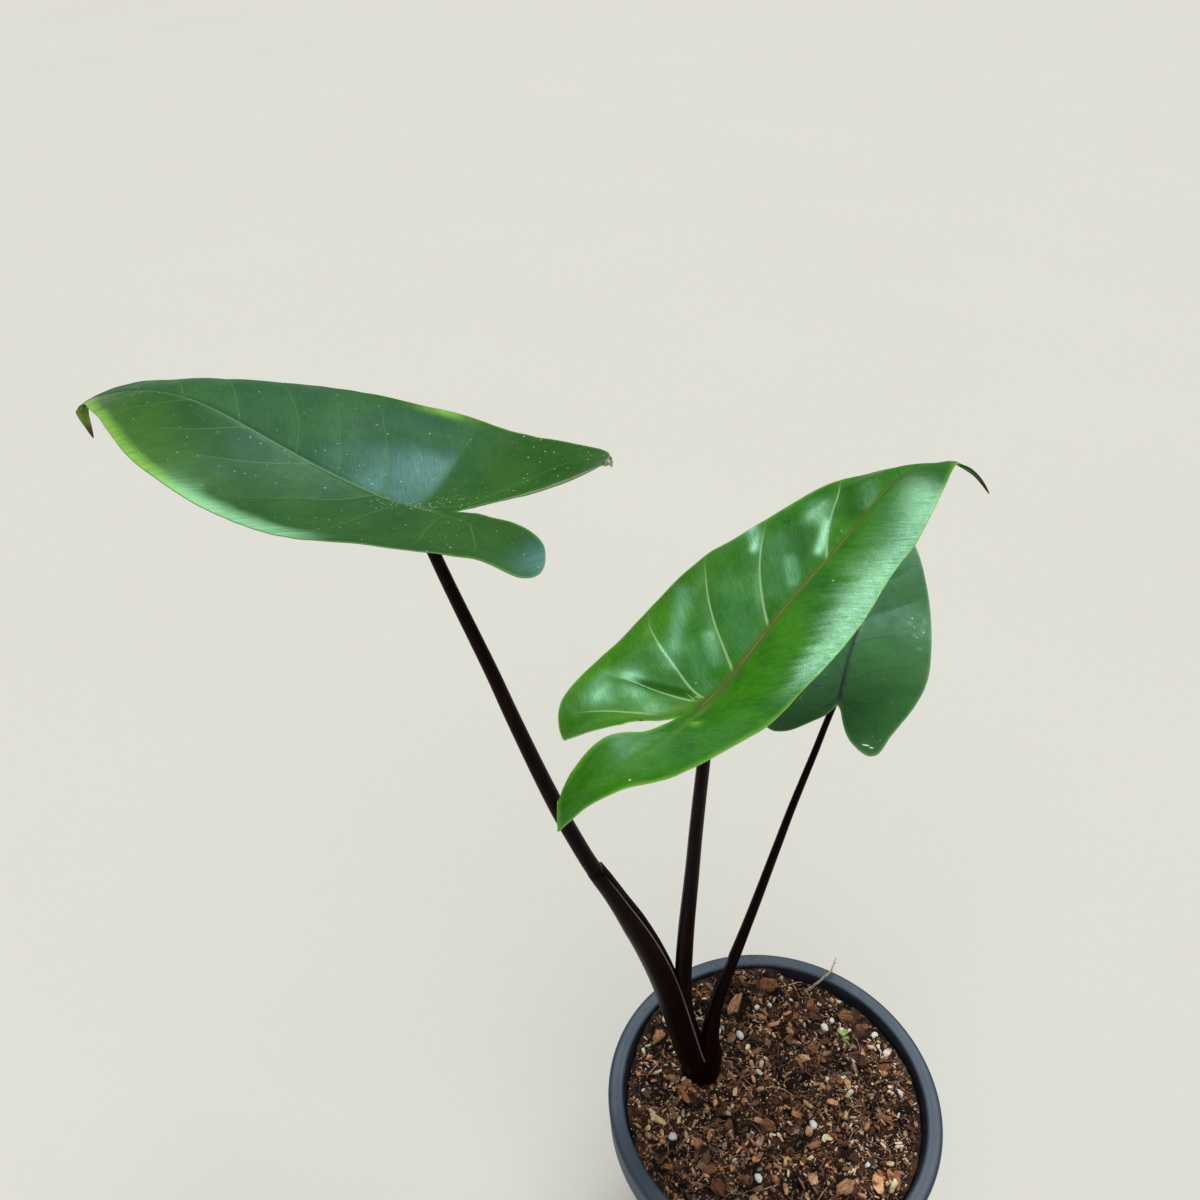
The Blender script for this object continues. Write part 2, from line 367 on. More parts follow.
def surface(ctrl, u, v):
    """The blade's surface: a uniform cubic B-spline over (u, v), in blade lengths."""
    ctrl = np.asarray(ctrl, float)

    def place(x, ends, n):
        s = (x - ends[0]) / (ends[1] - ends[0]) * (n - 3)
        i = np.clip(np.floor(s).astype(int), 0, n - 4)
        t = s - i
        return i, np.stack([(1 - t) ** 3 / 6, (3 * t ** 3 - 6 * t * t + 4) / 6,
                            (-3 * t ** 3 + 3 * t * t + 3 * t + 1) / 6, t ** 3 / 6], 1)

    iu, bu = place(u, U_RANGE, ctrl.shape[0])
    iv, bv = place(v, V_RANGE, ctrl.shape[1])
    p = np.zeros((len(u), 3))
    for a in range(4):
        for b in range(4):
            p += (bu[:, a] * bv[:, b])[:, None] * ctrl[iu + a, iv + b]
    return p


def unit(v):
    return v / np.maximum(np.linalg.norm(v, axis=-1, keepdims=True), 1e-12)


def lattice(ix, iy, iz, seed):
    n = (ix * 374761393 + iy * 668265263 + iz * 2147483647 + seed * 1274126177) & 0xFFFFFFFF
    n = ((n ^ (n >> 13)) * 1274126177) & 0xFFFFFFFF
    n = n ^ (n >> 16)
    return (n & 0xFFFF) / 32767.5 - 1


def noise(p, seed=0):
    """Smooth value noise in three dimensions, from -1 to 1."""
    p = np.asarray(p, float)
    if p.shape[1] == 2:
        p = np.hstack([p, np.zeros((len(p), 1))])
    i = np.floor(p).astype(np.int64)
    f = p - i
    f = f * f * f * (f * (f * 6 - 15) + 10)
    out = 0
    for dx in (0, 1):
        for dy in (0, 1):
            for dz in (0, 1):
                w = ((f[:, 0] if dx else 1 - f[:, 0]) * (f[:, 1] if dy else 1 - f[:, 1])
                     * (f[:, 2] if dz else 1 - f[:, 2]))
                out = out + w * lattice(i[:, 0] + dx, i[:, 1] + dy, i[:, 2] + dz, seed)
    return out


def layers(p, seed, octaves, gain=0.5):
    out, k, total = 0, 1.0, 0
    for o in range(octaves):
        out = out + k * noise(np.asarray(p) * 2.0 ** o + 17.3 * o, seed + o)
        total += k
        k *= gain
    return out / total


def reach(points, line):
    """Distance from each 2-D point to a polyline, how far along the nearest place is, and the offset to its left."""
    points, line = np.asarray(points, float), np.asarray(line, float)
    a, b = line[:-1], line[1:]
    ab = b - a
    size = np.maximum((ab ** 2).sum(1), 1e-12)
    lengths = np.sqrt(size)
    start = np.concatenate([[0], np.cumsum(lengths)])
    best, where, side = np.full(len(points), 1e9), np.zeros(len(points)), np.ones(len(points))
    for k in range(len(a)):
        t = np.clip(((points - a[k]) @ ab[k]) / size[k], 0, 1)
        d = np.linalg.norm(points - (a[k] + t[:, None] * ab[k]), axis=1)
        near = d < best
        best[near] = d[near]
        where[near] = (start[k] + t * lengths[k])[near]
        turn = ab[k][0] * (points[:, 1] - a[k][1]) - ab[k][1] * (points[:, 0] - a[k][0])
        side[near] = turn[near] / lengths[k]
    return best, where / start[-1], side


def nearest(points, lines, samples):
    """The same for the nearest of several lines."""
    best, where, side = np.full(len(points), 99.0), np.zeros(len(points)), np.ones(len(points))
    for line in lines:
        d, w, turn = reach(points, along(line, np.linspace(0, 1, samples)))
        near = d < best
        best[near], where[near], side[near] = d[near], w[near], turn[near]
    return best, where, np.where(side < 0, -1.0, 1.0)


# ---------------------------------------------------------------- meshes
def new_mesh(name, verts, quads=None, tris=None, flat=False, slots=None):
    """A mesh from millimetre points. slots gives each face's material index, quads first."""
    me = bpy.data.meshes.new(name)
    quads = np.zeros((0, 4), int) if quads is None else np.asarray(quads, int)
    tris = np.zeros((0, 3), int) if tris is None else np.asarray(tris, int)
    me.vertices.add(len(verts))
    me.vertices.foreach_set("co", (np.asarray(verts, float) * MM).astype(np.float32).ravel())
    loops = np.concatenate([quads.ravel(), tris.ravel()]).astype(np.int32)
    me.loops.add(len(loops))
    me.loops.foreach_set("vertex_index", loops)
    starts = np.concatenate([np.arange(len(quads)) * 4, len(quads) * 4 + np.arange(len(tris)) * 3])
    me.polygons.add(len(starts))
    me.polygons.foreach_set("loop_start", starts.astype(np.int32))
    if slots is not None:
        me.polygons.foreach_set("material_index", np.asarray(slots, np.int32))
    me.polygons.foreach_set("use_smooth", np.full(len(starts), not flat))
    me.update(calc_edges=True)
    return me


def attach(me, name, values):
    values = np.asarray(values, np.float32)
    if values.ndim == 1:
        me.attributes.new(name, "FLOAT", "POINT").data.foreach_set("value", values)
    elif values.shape[1] == 3:
        me.attributes.new(name, "FLOAT_VECTOR", "POINT").data.foreach_set("vector", values.ravel())
    else:
        me.attributes.new(name, "FLOAT_COLOR", "POINT").data.foreach_set("color", values.ravel())


def place(me, materials, slot, replaced=(), name=None):
    """Links a mesh as a piece that rides on the one body."""
    obj = bpy.data.objects.new(name or me.name, me)
    scene.collection.objects.link(obj)
    for m in materials:
        me.materials.append(m)
    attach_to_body(obj, "root")
    if replaced:
        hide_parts(*replaced)
    return obj


def clean(quads):
    """Splits quads with two equal corners into triangles and drops the empty ones."""
    quads = np.asarray(quads, int)
    same = [quads[:, k] == quads[:, (k + 1) % 4] for k in range(4)]
    bad = same[0] | same[1] | same[2] | same[3]
    tris = []
    for q in quads[bad]:
        t = [q[k] for k in range(4) if q[k] != q[(k + 1) % 4]]
        if len(set(t)) == 3:
            tris.append(t)
    return quads[~bad], np.array(tris, int).reshape(-1, 3)


def vertex_normals(verts, quads, tris):
    n = np.zeros_like(verts)
    for f in (quads, tris):
        if len(f):
            c = np.cross(verts[f[:, 2]] - verts[f[:, 0]], verts[f[:, -1]] - verts[f[:, 1]])
            for k in range(f.shape[1]):
                np.add.at(n, f[:, k], c)
    return unit(n)


def open_edges(quads, tris):
    """Directed edges that only one face uses."""
    edges = []
    for f in (quads, tris):
        if len(f):
            for k in range(f.shape[1]):
                edges.append(np.stack([f[:, k], f[:, (k + 1) % f.shape[1]]], 1))
    edges = np.vstack(edges)
    top = int(edges.max()) + 1
    forward = edges[:, 0] * top + edges[:, 1]
    back = edges[:, 1] * top + edges[:, 0]
    return edges[~np.isin(forward, back)]


# ---------------------------------------------------------------- node materials
def rgb(r, g, b):
    """Linear colour from 0-255 display values."""
    c = [((x / 255) / 12.92 if x / 255 <= 0.04045 else ((x / 255 + 0.055) / 1.055) ** 2.4) for x in (r, g, b)]
    return (c[0], c[1], c[2], 1.0)


class Nodes:
    """Small helpers that build one material's nodes."""

    def __init__(self, name):
        self.mat = bpy.data.materials.new(name)
        self.mat.use_nodes = True
        self.tree = self.mat.node_tree
        self.tree.nodes.clear()
        self.out = self.tree.nodes.new("ShaderNodeOutputMaterial")

    def add(self, kind, ins=None, **props):
        n = self.tree.nodes.new(kind)
        for k, v in props.items():
            setattr(n, k, v)
        for k, v in (ins or {}).items():
            if isinstance(v, bpy.types.NodeSocket):
                self.tree.links.new(v, n.inputs[k])
            else:
                n.inputs[k].default_value = v
        return n

    def attr(self, name, what="Vector"):
        return self.add("ShaderNodeAttribute", attribute_name=name, attribute_type="GEOMETRY").outputs[what]

    def parts(self, vector):
        return self.add("ShaderNodeSeparateXYZ", {0: vector}).outputs

    def math(self, op, a, b=0.0, clamp=False):
        return self.add("ShaderNodeMath", {0: a, 1: b}, operation=op, use_clamp=clamp).outputs[0]

    def scaled(self, vector, s):
        return self.add("ShaderNodeVectorMath", {0: vector, 1: s}, operation="MULTIPLY").outputs[0]

    def span(self, value, a, b, c=0.0, d=1.0, soft=True):
        return self.add("ShaderNodeMapRange", {0: value, 1: a, 2: b, 3: c, 4: d},
                        interpolation_type="SMOOTHSTEP" if soft else "LINEAR").outputs[0]

    def mix(self, fac, a, b, blend="MIX"):
        n = self.add("ShaderNodeMix", data_type="RGBA", blend_type=blend)
        for i, v in ((0, fac), (6, a), (7, b)):
            if isinstance(v, bpy.types.NodeSocket):
                self.tree.links.new(v, n.inputs[i])
            else:
                n.inputs[i].default_value = v
        return n.outputs[2]

    def ramp(self, fac, stops, mode="LINEAR"):
        n = self.add("ShaderNodeValToRGB", {0: fac})
        n.color_ramp.interpolation = mode
        e = n.color_ramp.elements
        while len(e) < len(stops):
            e.new(0.5)
        for k, (pos, col) in enumerate(stops):
            e[k].position = pos
            e[k].color = col
        return n.outputs[0]

    def noise(self, vector, scale, detail=3.0, rough=0.5, distortion=0.0):
        return self.add("ShaderNodeTexNoise", {"Vector": vector, "Scale": scale, "Detail": detail,
                                               "Roughness": rough, "Distortion": distortion}).outputs[0]

    def cells(self, vector, scale, feature="F1", what=0, randomness=1.0):
        return self.add("ShaderNodeTexVoronoi", {"Vector": vector, "Scale": scale, "Randomness": randomness},
                        feature=feature).outputs[what]

    def bump(self, height, strength, distance, normal=None):
        ins = {"Height": height, "Strength": strength, "Distance": distance}
        if normal is not None:
            ins["Normal"] = normal
        return self.add("ShaderNodeBump", ins).outputs[0]

    def finish(self, color, roughness, normal=None, **sockets):
        ins = {"Base Color": color, "Roughness": roughness}
        if normal is not None:
            ins["Normal"] = normal
        ins.update({k.replace("_", " "): v for k, v in sockets.items()})
        bsdf = self.add("ShaderNodeBsdfPrincipled", ins)
        self.tree.links.new(bsdf.outputs[0], self.out.inputs[0])
        return self.mat


def metres(n):
    """Object coordinates, in metres from the frame's origin."""
    return n.add("ShaderNodeTexCoord").outputs["Object"]


# ---------------------------------------------------------------- leaf blades
# Veins in (u, v): u from the joint (0) to the tip (1), v across, in blade lengths.
VEINS = {
    "left": {
        "laterals": [
            [(-0.004, 0.0), (0.007, -0.067), (0.029, -0.161), (0.041, -0.241), (0.055, -0.285)],
            [(0.08, -0.003), (0.128, -0.075), (0.166, -0.13), (0.221, -0.191), (0.25, -0.235)],
            [(0.19, -0.003), (0.24, -0.075), (0.30, -0.145), (0.35, -0.205)],
            [(0.29, -0.003), (0.339, -0.071), (0.398, -0.121), (0.447, -0.157), (0.49, -0.19)],
            [(0.43, -0.003), (0.50, -0.065), (0.57, -0.115), (0.63, -0.15)],
            [(0.58, -0.003), (0.65, -0.05), (0.72, -0.085), (0.77, -0.11)],
            [(0.73, -0.003), (0.79, -0.035), (0.85, -0.06)],
            [(0.03, 0.003), (0.044, 0.059), (0.043, 0.12), (0.035, 0.18), (0.01, 0.25)],
            [(0.09, 0.003), (0.129, 0.058), (0.191, 0.103), (0.247, 0.153), (0.30, 0.19)],
            [(0.25, 0.003), (0.272, 0.022), (0.342, 0.072), (0.422, 0.111), (0.502, 0.14), (0.56, 0.16)],
            [(0.41, 0.003), (0.48, 0.06), (0.56, 0.10), (0.65, 0.13)],
            [(0.56, 0.003), (0.63, 0.05), (0.71, 0.085), (0.77, 0.10)],
            [(0.72, 0.003), (0.78, 0.035), (0.85, 0.055)],
            [(-0.10, -0.055), (-0.119, -0.13), (-0.155, -0.194), (-0.208, -0.24), (-0.24, -0.265)],
            [(-0.18, -0.11), (-0.23, -0.17), (-0.28, -0.215)],
            [(-0.09, 0.02), (-0.11, 0.09), (-0.145, 0.16), (-0.16, 0.21)],
            [(-0.20, 0.08), (-0.24, 0.13), (-0.27, 0.17)],
        ],
        "ribs": [
            [(0.0, 0.0), (-0.07, -0.028), (-0.11, -0.06), (-0.17, -0.105), (-0.25, -0.145), (-0.33, -0.14), (-0.385, -0.11)],
            [(0.0, 0.0), (-0.07, 0.012), (-0.14, 0.04), (-0.21, 0.085), (-0.28, 0.13), (-0.34, 0.15), (-0.385, 0.165)],
        ],
    },
    "middle": {
        "laterals": [
            [(-0.008, 0.0), (0.013, 0.066), (0.047, 0.135), (0.075, 0.193), (0.114, 0.254), (0.144, 0.28)],
            [(0.099, 0.003), (0.146, 0.057), (0.202, 0.123), (0.259, 0.182), (0.307, 0.223), (0.352, 0.258)],
            [(0.251, 0.003), (0.316, 0.061), (0.399, 0.126), (0.477, 0.172), (0.531, 0.2)],
            [(0.51, 0.003), (0.567, 0.04), (0.632, 0.073), (0.696, 0.103), (0.756, 0.146)],
            [(0.70, 0.003), (0.76, 0.04), (0.82, 0.08), (0.86, 0.10)],
            [(-0.02, 0.03), (-0.045, 0.10), (-0.065, 0.16), (-0.09, 0.22)],
            [(-0.12, 0.07), (-0.18, 0.13), (-0.235, 0.19)],
            [(0.0, -0.003), (0.03, -0.07), (0.06, -0.14), (0.08, -0.20)],
            [(0.11, -0.003), (0.17, -0.06), (0.23, -0.12), (0.28, -0.17)],
            [(0.26, -0.003), (0.33, -0.06), (0.42, -0.11), (0.50, -0.145)],
            [(0.50, -0.003), (0.57, -0.04), (0.65, -0.08), (0.73, -0.12)],
            [(0.70, -0.003), (0.76, -0.035), (0.83, -0.07), (0.88, -0.085)],
            [(-0.10, -0.045), (-0.11, -0.12), (-0.13, -0.20)],
            [(-0.20, -0.10), (-0.24, -0.15), (-0.27, -0.195)],
        ],
        "faint": (4, 7, 8, 9, 10, 11, 12, 13),
        "ribs": [
            [(0.0, 0.0), (-0.034, 0.032), (-0.07, 0.049), (-0.114, 0.064), (-0.19, 0.105), (-0.28, 0.13), (-0.36, 0.10)],
            [(0.0, 0.0), (-0.03, -0.012), (-0.08, -0.032), (-0.14, -0.065), (-0.213, -0.105), (-0.287, -0.12),
             (-0.354, -0.115), (-0.43, -0.09), (-0.50, -0.055)],
        ],
    },
    "right": {
        "laterals": [
            [(0.31, -0.002), (0.321, -0.009), (0.376, -0.048), (0.414, -0.097), (0.46, -0.16), (0.49, -0.21)],
            [(0.02, -0.002), (0.033, -0.019), (0.064, -0.056), (0.111, -0.097), (0.16, -0.16), (0.20, -0.23)],
            [(0.16, -0.003), (0.21, -0.06), (0.27, -0.13), (0.33, -0.215)],
            [(0.47, -0.003), (0.54, -0.07), (0.61, -0.14), (0.65, -0.18)],
            [(0.63, -0.003), (0.70, -0.06), (0.77, -0.12)],
            [(0.78, -0.003), (0.83, -0.045), (0.87, -0.075)],
            [(0.05, 0.003), (0.088, 0.010), (0.155, 0.040), (0.21, 0.09), (0.27, 0.16), (0.31, 0.23)],
            [(0.22, 0.003), (0.30, 0.07), (0.37, 0.14), (0.43, 0.21)],
            [(0.40, 0.003), (0.48, 0.07), (0.56, 0.13), (0.61, 0.17)],
            [(0.58, 0.003), (0.66, 0.06), (0.74, 0.11)],
            [(0.75, 0.003), (0.80, 0.04), (0.85, 0.07)],
            [(-0.01, 0.004), (0.01, 0.08), (0.03, 0.17), (0.05, 0.25)],
            [(-0.10, -0.03), (-0.12, -0.10), (-0.15, -0.18), (-0.18, -0.22)],
            [(-0.10, 0.03), (-0.12, 0.10), (-0.15, 0.18), (-0.18, 0.22)],
        ],
        "ribs": [
            [(0.0, 0.0), (-0.07, 0.015), (-0.13, 0.045), (-0.20, 0.10), (-0.27, 0.14), (-0.34, 0.15), (-0.385, 0.14)],
            [(0.0, 0.0), (-0.07, -0.015), (-0.13, -0.045), (-0.20, -0.095), (-0.27, -0.135), (-0.35, -0.15), (-0.40, -0.14)],
        ],
    },
}
# How each blade is modelled: half widths of its veins on top (mm), how deep they sit,
# how far the panels between them swell on each side, and the ribs under the blade.
LOOK = {
    "left": dict(length=131.6, mid=[(-0.1, 0.6), (0, 0.55), (0.5, 0.4), (1, 0.2)], lateral=0.34, groove=0.35,
                 sink=0.12, swell=(0.4, 0.15), fold=(5.0, 5.0), droop=0, rib=1.5, crinkle=0.03, wave=0.16,
                 hook=1.3, twist=3.0, creases=[], torn=True),
    "middle": dict(length=122.2, mid=[(-0.1, 1.8), (0, 2.1), (0.2, 1.7), (0.35, 1.2), (0.7, 0.6), (1, 0.25)], lateral=0.55,
                   groove=0.45, sink=0.16, swell=(1.3, 0.05), fold=(3.0, 10.0), droop=0.9, rib=1.6, crinkle=0.04,
                   wave=0.04, hook=1.0, twist=0.6, torn=False,
                   creases=[[(-0.09, 0.20), (-0.068, 0.167), (-0.038, 0.11), (-0.008, 0.053), (0.0, 0.03)]]),
    "right": dict(length=95.4, mid=[(-0.1, 0.7), (0, 0.65), (0.5, 0.4), (1, 0.2)], lateral=0.34, groove=0.3,
                  sink=0.1, swell=(0.35, 0.35), fold=(4.0, 4.0), droop=0, rib=1.1, crinkle=0.03, wave=0.22,
                  hook=1.0, twist=0, creases=[], torn=False),
}
MAIN_ROWS, LOBE_ROWS, TAIL_ROWS, COLUMNS = 124, 54, 18, 60


def blade(name, leaf, materials):
    look, veins = LOOK[name], VEINS[name]
    length = look["length"]
    x = np.arange(COLUMNS + 1) / COLUMNS
    across = 0.6 * x + 0.4 * 0.5 * (1 - np.cos(np.pi * x))
    ctrl, tail = leaf["ctrl"], np.array(leaf["tail"], float)
    tip_across = unit((surface(ctrl, np.array([1.0]), np.array([0.01]))
                       - surface(ctrl, np.array([1.0]), np.array([-0.01])))[0])
    tail_length = np.linalg.norm(np.diff(tail, axis=0), axis=1).sum()
    tail_across = unit(np.cross(tail[-1] - tail[1], tail[2] - np.array(camera.location) / MM))
    tail_across = tail_across * np.sign(tail_across @ tip_across)
    sinus = leaf["halves"][0]["inner"][0]
    parts, quads, count, shared = [], [], 0, None
    for h, half in enumerate(leaf["halves"]):
        uv, xyz, side = [], [], half["sign"]
        for k in range(TAIL_ROWS):
            s = 1 - k / TAIL_ROWS
            w = leaf["tailHalfWidth"] * look["hook"] * (1 - s ** 1.4) ** 0.8 + 0.12
            c = along(tail, [s])[0]
            turn = unit(tip_across + look["twist"] * smooth(0, 0.35, s) * tail_across)
            uv.append(np.stack([np.full(COLUMNS + 1, 1 + s * tail_length / length), side * w * across / length], 1))
            xyz.append(c + side * w * across[:, None] * turn)
        for r in range(MAIN_ROWS + LOBE_ROWS + 1):
            main = r <= MAIN_ROWS
            f = r / MAIN_ROWS if main else (r - MAIN_ROWS) / LOBE_ROWS
            outer = along(half["outer"], [half["split"] * f ** 0.9 if main else half["split"] + (1 - half["split"]) * f],
                          half["inner"][-2])[0]
            inner = (np.array([1 + (sinus[0] - 1) * f ** 0.9, sinus[1] * smooth(0.8, 1, f)]) if main
                     else along(half["inner"], [f], half["outer"][-2])[0])
            p = inner + (outer - inner) * across[:, None]
            uv.append(p)
            xyz.append(surface(ctrl, p[:, 0], p[:, 1]))
        uv, xyz = np.array(uv), np.array(xyz)
        rows = len(uv)
        ids = count + np.arange(rows * (COLUMNS + 1)).reshape(rows, COLUMNS + 1)
        count += rows * (COLUMNS + 1)
        joined = TAIL_ROWS + MAIN_ROWS + 1
        if h == 0:
            shared = ids[:joined, 0].copy()
        else:
            ids[:joined, 0] = shared
        ids[-1, :] = ids[-1, 0]
        q = np.stack([ids[:-1, :-1], ids[1:, :-1], ids[1:, 1:], ids[:-1, 1:]], -1).reshape(-1, 4)
        quads.append(q if side < 0 else q[:, ::-1])
        parts.append((uv.reshape(-1, 2), xyz.reshape(-1, 3)))
    uv = np.vstack([p[0] for p in parts])
    base = np.vstack([p[1] for p in parts])
    quads, tris = clean(np.vstack(quads))
    used = np.unique(np.concatenate([quads.ravel(), tris.ravel()]))
    renumber = np.full(count, -1)
    renumber[used] = np.arange(len(used))
    uv, base, quads, tris = uv[used], base[used], renumber[quads], renumber[tris]
    normals = vertex_normals(base, quads, tris)
    if normals[:, 2].sum() < 0:
        quads, tris, normals = quads[:, ::-1], tris[:, ::-1], -normals

    flat = uv * length
    edge = np.minimum(*[reach(flat, np.vstack([along(half["outer"], np.linspace(0, 1, 160), half["inner"][-2]),
                                               along(half["inner"], np.linspace(1, 0, 90), half["outer"][-2])])
                              * length)[0] for half in leaf["halves"]])
    on_tail = uv[:, 0] > 1
    on_tail_s = np.clip((uv[:, 0] - 1) * length / tail_length, 0, 1)
    edge[on_tail] = np.maximum(0.5, leaf["tailHalfWidth"] * 0.8 - np.abs(flat[on_tail, 1]))
    mid = reach(flat, np.array([(1.3, 0), (0, 0), (sinus[0] * 0.6, sinus[1] * 0.3)]) * length)[0]
    lines = [np.array(line) * length for line in veins["laterals"]]
    lat_low, where_low, side_low = nearest(flat, lines, 24)
    lat, where, side_top = nearest(flat, [line for k, line in enumerate(lines) if k not in veins.get("faint", ())], 24)
    rib, rib_where, rib_side = nearest(flat, [np.array(line) * length for line in veins["ribs"]], 40)

    mid_half = table(look["mid"], uv[:, 0])
    lat_half = look["lateral"] * (1 - 0.6 * where)
    rib_half = look["mid"][1][1] * 0.65 * (1 - 0.75 * rib_where)
    body = 1 - smooth(0.96, 1.0, uv[:, 0])
    first_side = np.where(uv[:, 1] * leaf["halves"][0]["sign"] > 0, 1.0, 0.0)
    swell = look["swell"][1] + (look["swell"][0] - look["swell"][1]) * first_side
    vein = np.minimum(np.minimum(lat, rib), mid)
    crease = lambda d, reach_mm: 1 - np.exp(-(np.sqrt(d * d + 0.3) - 0.55) / reach_mm)
    steep, gentle = look["fold"]
    panel = crease(rib, steep + 1) * crease(mid, steep) * smooth(0.0, 8.0, edge)
    for k, line in enumerate(lines):
        if k not in veins.get("faint", ()):
            d, _, offset = reach(flat, along(line, np.linspace(0, 1, 24)))
            joint_side = smooth(-1.5, 1.5, offset * np.sign(line[-1, 1]))
            other_half = smooth(0.0, 3.0, -uv[:, 1] * length * np.sign(line[-1, 1]))
            fold = crease(d, gentle + (steep - gentle) * joint_side)
            panel = panel * (fold + (1 - fold) * other_half)
    joint = smooth(1.0, 8.0, np.hypot(flat[:, 0], flat[:, 1]))
    across_mm, along_mm = np.abs(flat[:, 1]), flat[:, 0] - 0.85 * np.abs(flat[:, 1])
    fine = noise(np.stack([along_mm / 1.6, across_mm / 5.0], 1), 3) + 0.5 * noise(np.stack([along_mm / 0.8, across_mm / 2.6], 1), 4)
    lift = (swell * (panel - 0.35)
            - look["sink"] * np.exp(-(lat / 1.2) ** 2) * (1 - 0.5 * where)
            - look["sink"] * 0.8 * np.exp(-(rib / 1.4) ** 2) * (1 - 0.7 * rib_where)
            - look["groove"] * np.exp(-(mid / (1.5 * mid_half)) ** 2)
            - look["droop"] * first_side * (1 - smooth(0.0, 9.0, edge))
            + look["crinkle"] * fine * smooth(0.3, 3, edge) * (0.35 + 0.65 * first_side)
            + (0.22 * first_side + look["wave"] * (1 - first_side)) * layers(flat / 11.0, 8, 2) * smooth(0, 8, edge)
            + 0.10 * noise(flat / 4.0, 12) * (1 - smooth(0, 4, edge)))
    for line in look["creases"]:
        far, place_on, _ = reach(flat, along(np.array(line) * length, np.linspace(0, 1, 24)))
        lift = lift - 0.42 * np.exp(-(far / 1.1) ** 2) * np.sin(np.pi * np.clip(place_on, 0.04, 0.96))
    lift = lift * body * (0.2 + 0.8 * joint)
    torn = np.zeros(len(uv))
    if look["torn"]:
        apex = np.array(leaf["halves"][0]["outer"][-1]) * length
        torn = 1 - smooth(1.2, 3.0, np.hypot(flat[:, 0] - apex[0], flat[:, 1] - apex[1]) + 0.5 * noise(flat / 0.9, 5))
        lift = lift + torn * (0.9 * noise(flat / 1.1, 6) + 0.5 * noise(flat / 0.5, 7))
    thickness = 0.22 + 0.28 * smooth(0.0, 1.6, edge)
    under_rib = (look["rib"] * table([(-0.15, 0.25), (-0.05, 0.9), (0, 1), (0.5, 0.62), (1, 0.15), (1.3, 0.05)], uv[:, 0])
                 * np.exp(-(mid / (look["rib"] * table([(0, 1), (1, 0.35)], uv[:, 0]))) ** 2 * 1.4))
    under_lat = 0.38 * (1 - 0.8 * where_low) * np.exp(-(lat_low / 0.7) ** 2)
    under_side = 0.75 * look["rib"] * (1 - 0.85 * rib_where) * np.exp(-(rib / 1.3) ** 2)
    thickness = np.where(on_tail, 0.3 + 0.9 * leaf["tailHalfWidth"] * (1 - on_tail_s) ** 0.65, thickness)
    drop = thickness + (np.maximum(np.maximum(under_rib, under_lat), under_side) * smooth(0.6, 5.0, edge)
                        * (0.15 + 0.85 * body))

    top = base + normals * lift[:, None]
    low = base + normals * (lift - drop)[:, None]
    n = len(top)
    edges = open_edges(quads, tris)
    rim = np.stack([edges[:, 1], edges[:, 0], n + edges[:, 0], n + edges[:, 1]], 1)
    all_quads = np.vstack([quads, quads[:, ::-1] + n, rim])
    all_tris = np.vstack([tris, tris[:, ::-1] + n])
    slots = np.concatenate([np.zeros(len(quads)), np.ones(len(quads)), np.zeros(len(rim)),
                            np.zeros(len(tris)), np.ones(len(tris))])
    me = new_mesh("leaf_" + name, np.vstack([top, low]), all_quads, all_tris, slots=slots)
    two = lambda a: np.concatenate([a, a])
    attach(me, "dist", np.stack([two(vein), two(mid), two(edge)], 1))
    low_half = look["lateral"] * (1 - 0.6 * where_low)
    attach(me, "bands", np.stack([two(mid / mid_half),
                                  np.concatenate([side_top * lat / lat_half, side_low * lat_low / low_half]),
                                  two(rib_side * rib / rib_half)], 1))
    attach(me, "near", np.stack([np.concatenate([lat, lat_low]), two(rib), np.concatenate([where, where_low])], 1))
    attach(me, "lc", np.stack([two(flat[:, 0]), two(flat[:, 1]), two(first_side * 40)], 1))
    attach(me, "pq", np.stack([two(along_mm), two(across_mm), two(first_side * 40)], 1))
    stains, sheen, paint, shadow = marks(name, uv, flat, edge, on_tail_s, torn)
    attach(me, "marks", np.vstack([stains, stains]))
    attach(me, "sheen", np.vstack([sheen, sheen]))
    attach(me, "paint", np.vstack([paint, paint]))
    attach(me, "shadow", np.concatenate([shadow, shadow]))
    attach(me, "rib_at", np.concatenate([rib_where, rib_where]))
    obj = place(me, materials, {"left": "leaf_dark", "middle": "leaf_glossy", "right": "leaf_blue"}[name],
                ["blade_" + name])
    return obj


def spot(flat, u, v, length, radius):
    return np.exp(-(((flat[:, 0] - u * length) ** 2 + (flat[:, 1] - v * length) ** 2) / radius ** 2))


# the leaf's glossy places beside the laterals: from, to, width in mm, strength
GLINTS = [((0.241, 0.245), (0.09, 0.167), 2.6, 0.95), ((0.074, 0.188), (0.047, 0.14), 2.4, 0.75),
          ((0.113, 0.14), (0.034, 0.032), 3.4, 0.36), ((0.31, 0.155), (0.189, 0.035), 5.0, 0.38),
          ((0.494, 0.215), (0.442, 0.173), 1.8, 0.8), ((0.169, 0.122), (0.103, 0.056), 1.7, 0.8),
          ((0.485, 0.14), (0.353, 0.059), 4.2, 0.38), ((0.452, 0.077), (0.399, 0.029), 2.1, 0.9),
          ((0.642, 0.131), (0.603, 0.11), 3.2, 0.65), ((0.603, 0.065), (0.517, 0.029), 1.7, 0.85),
          ((0.761, 0.056), (0.705, 0.002), 2.6, 0.5), ((-0.11, 0.242), (-0.166, 0.203), 4.6, 1.0),
          ((-0.058, 0.176), (-0.087, 0.143), 3.2, 0.75)]
DARKS = [((0.547, 0.101), (0.491, 0.05), 2.4, 0.6), ((0.731, 0.095), (0.659, 0.026), 2.6, 0.6)]


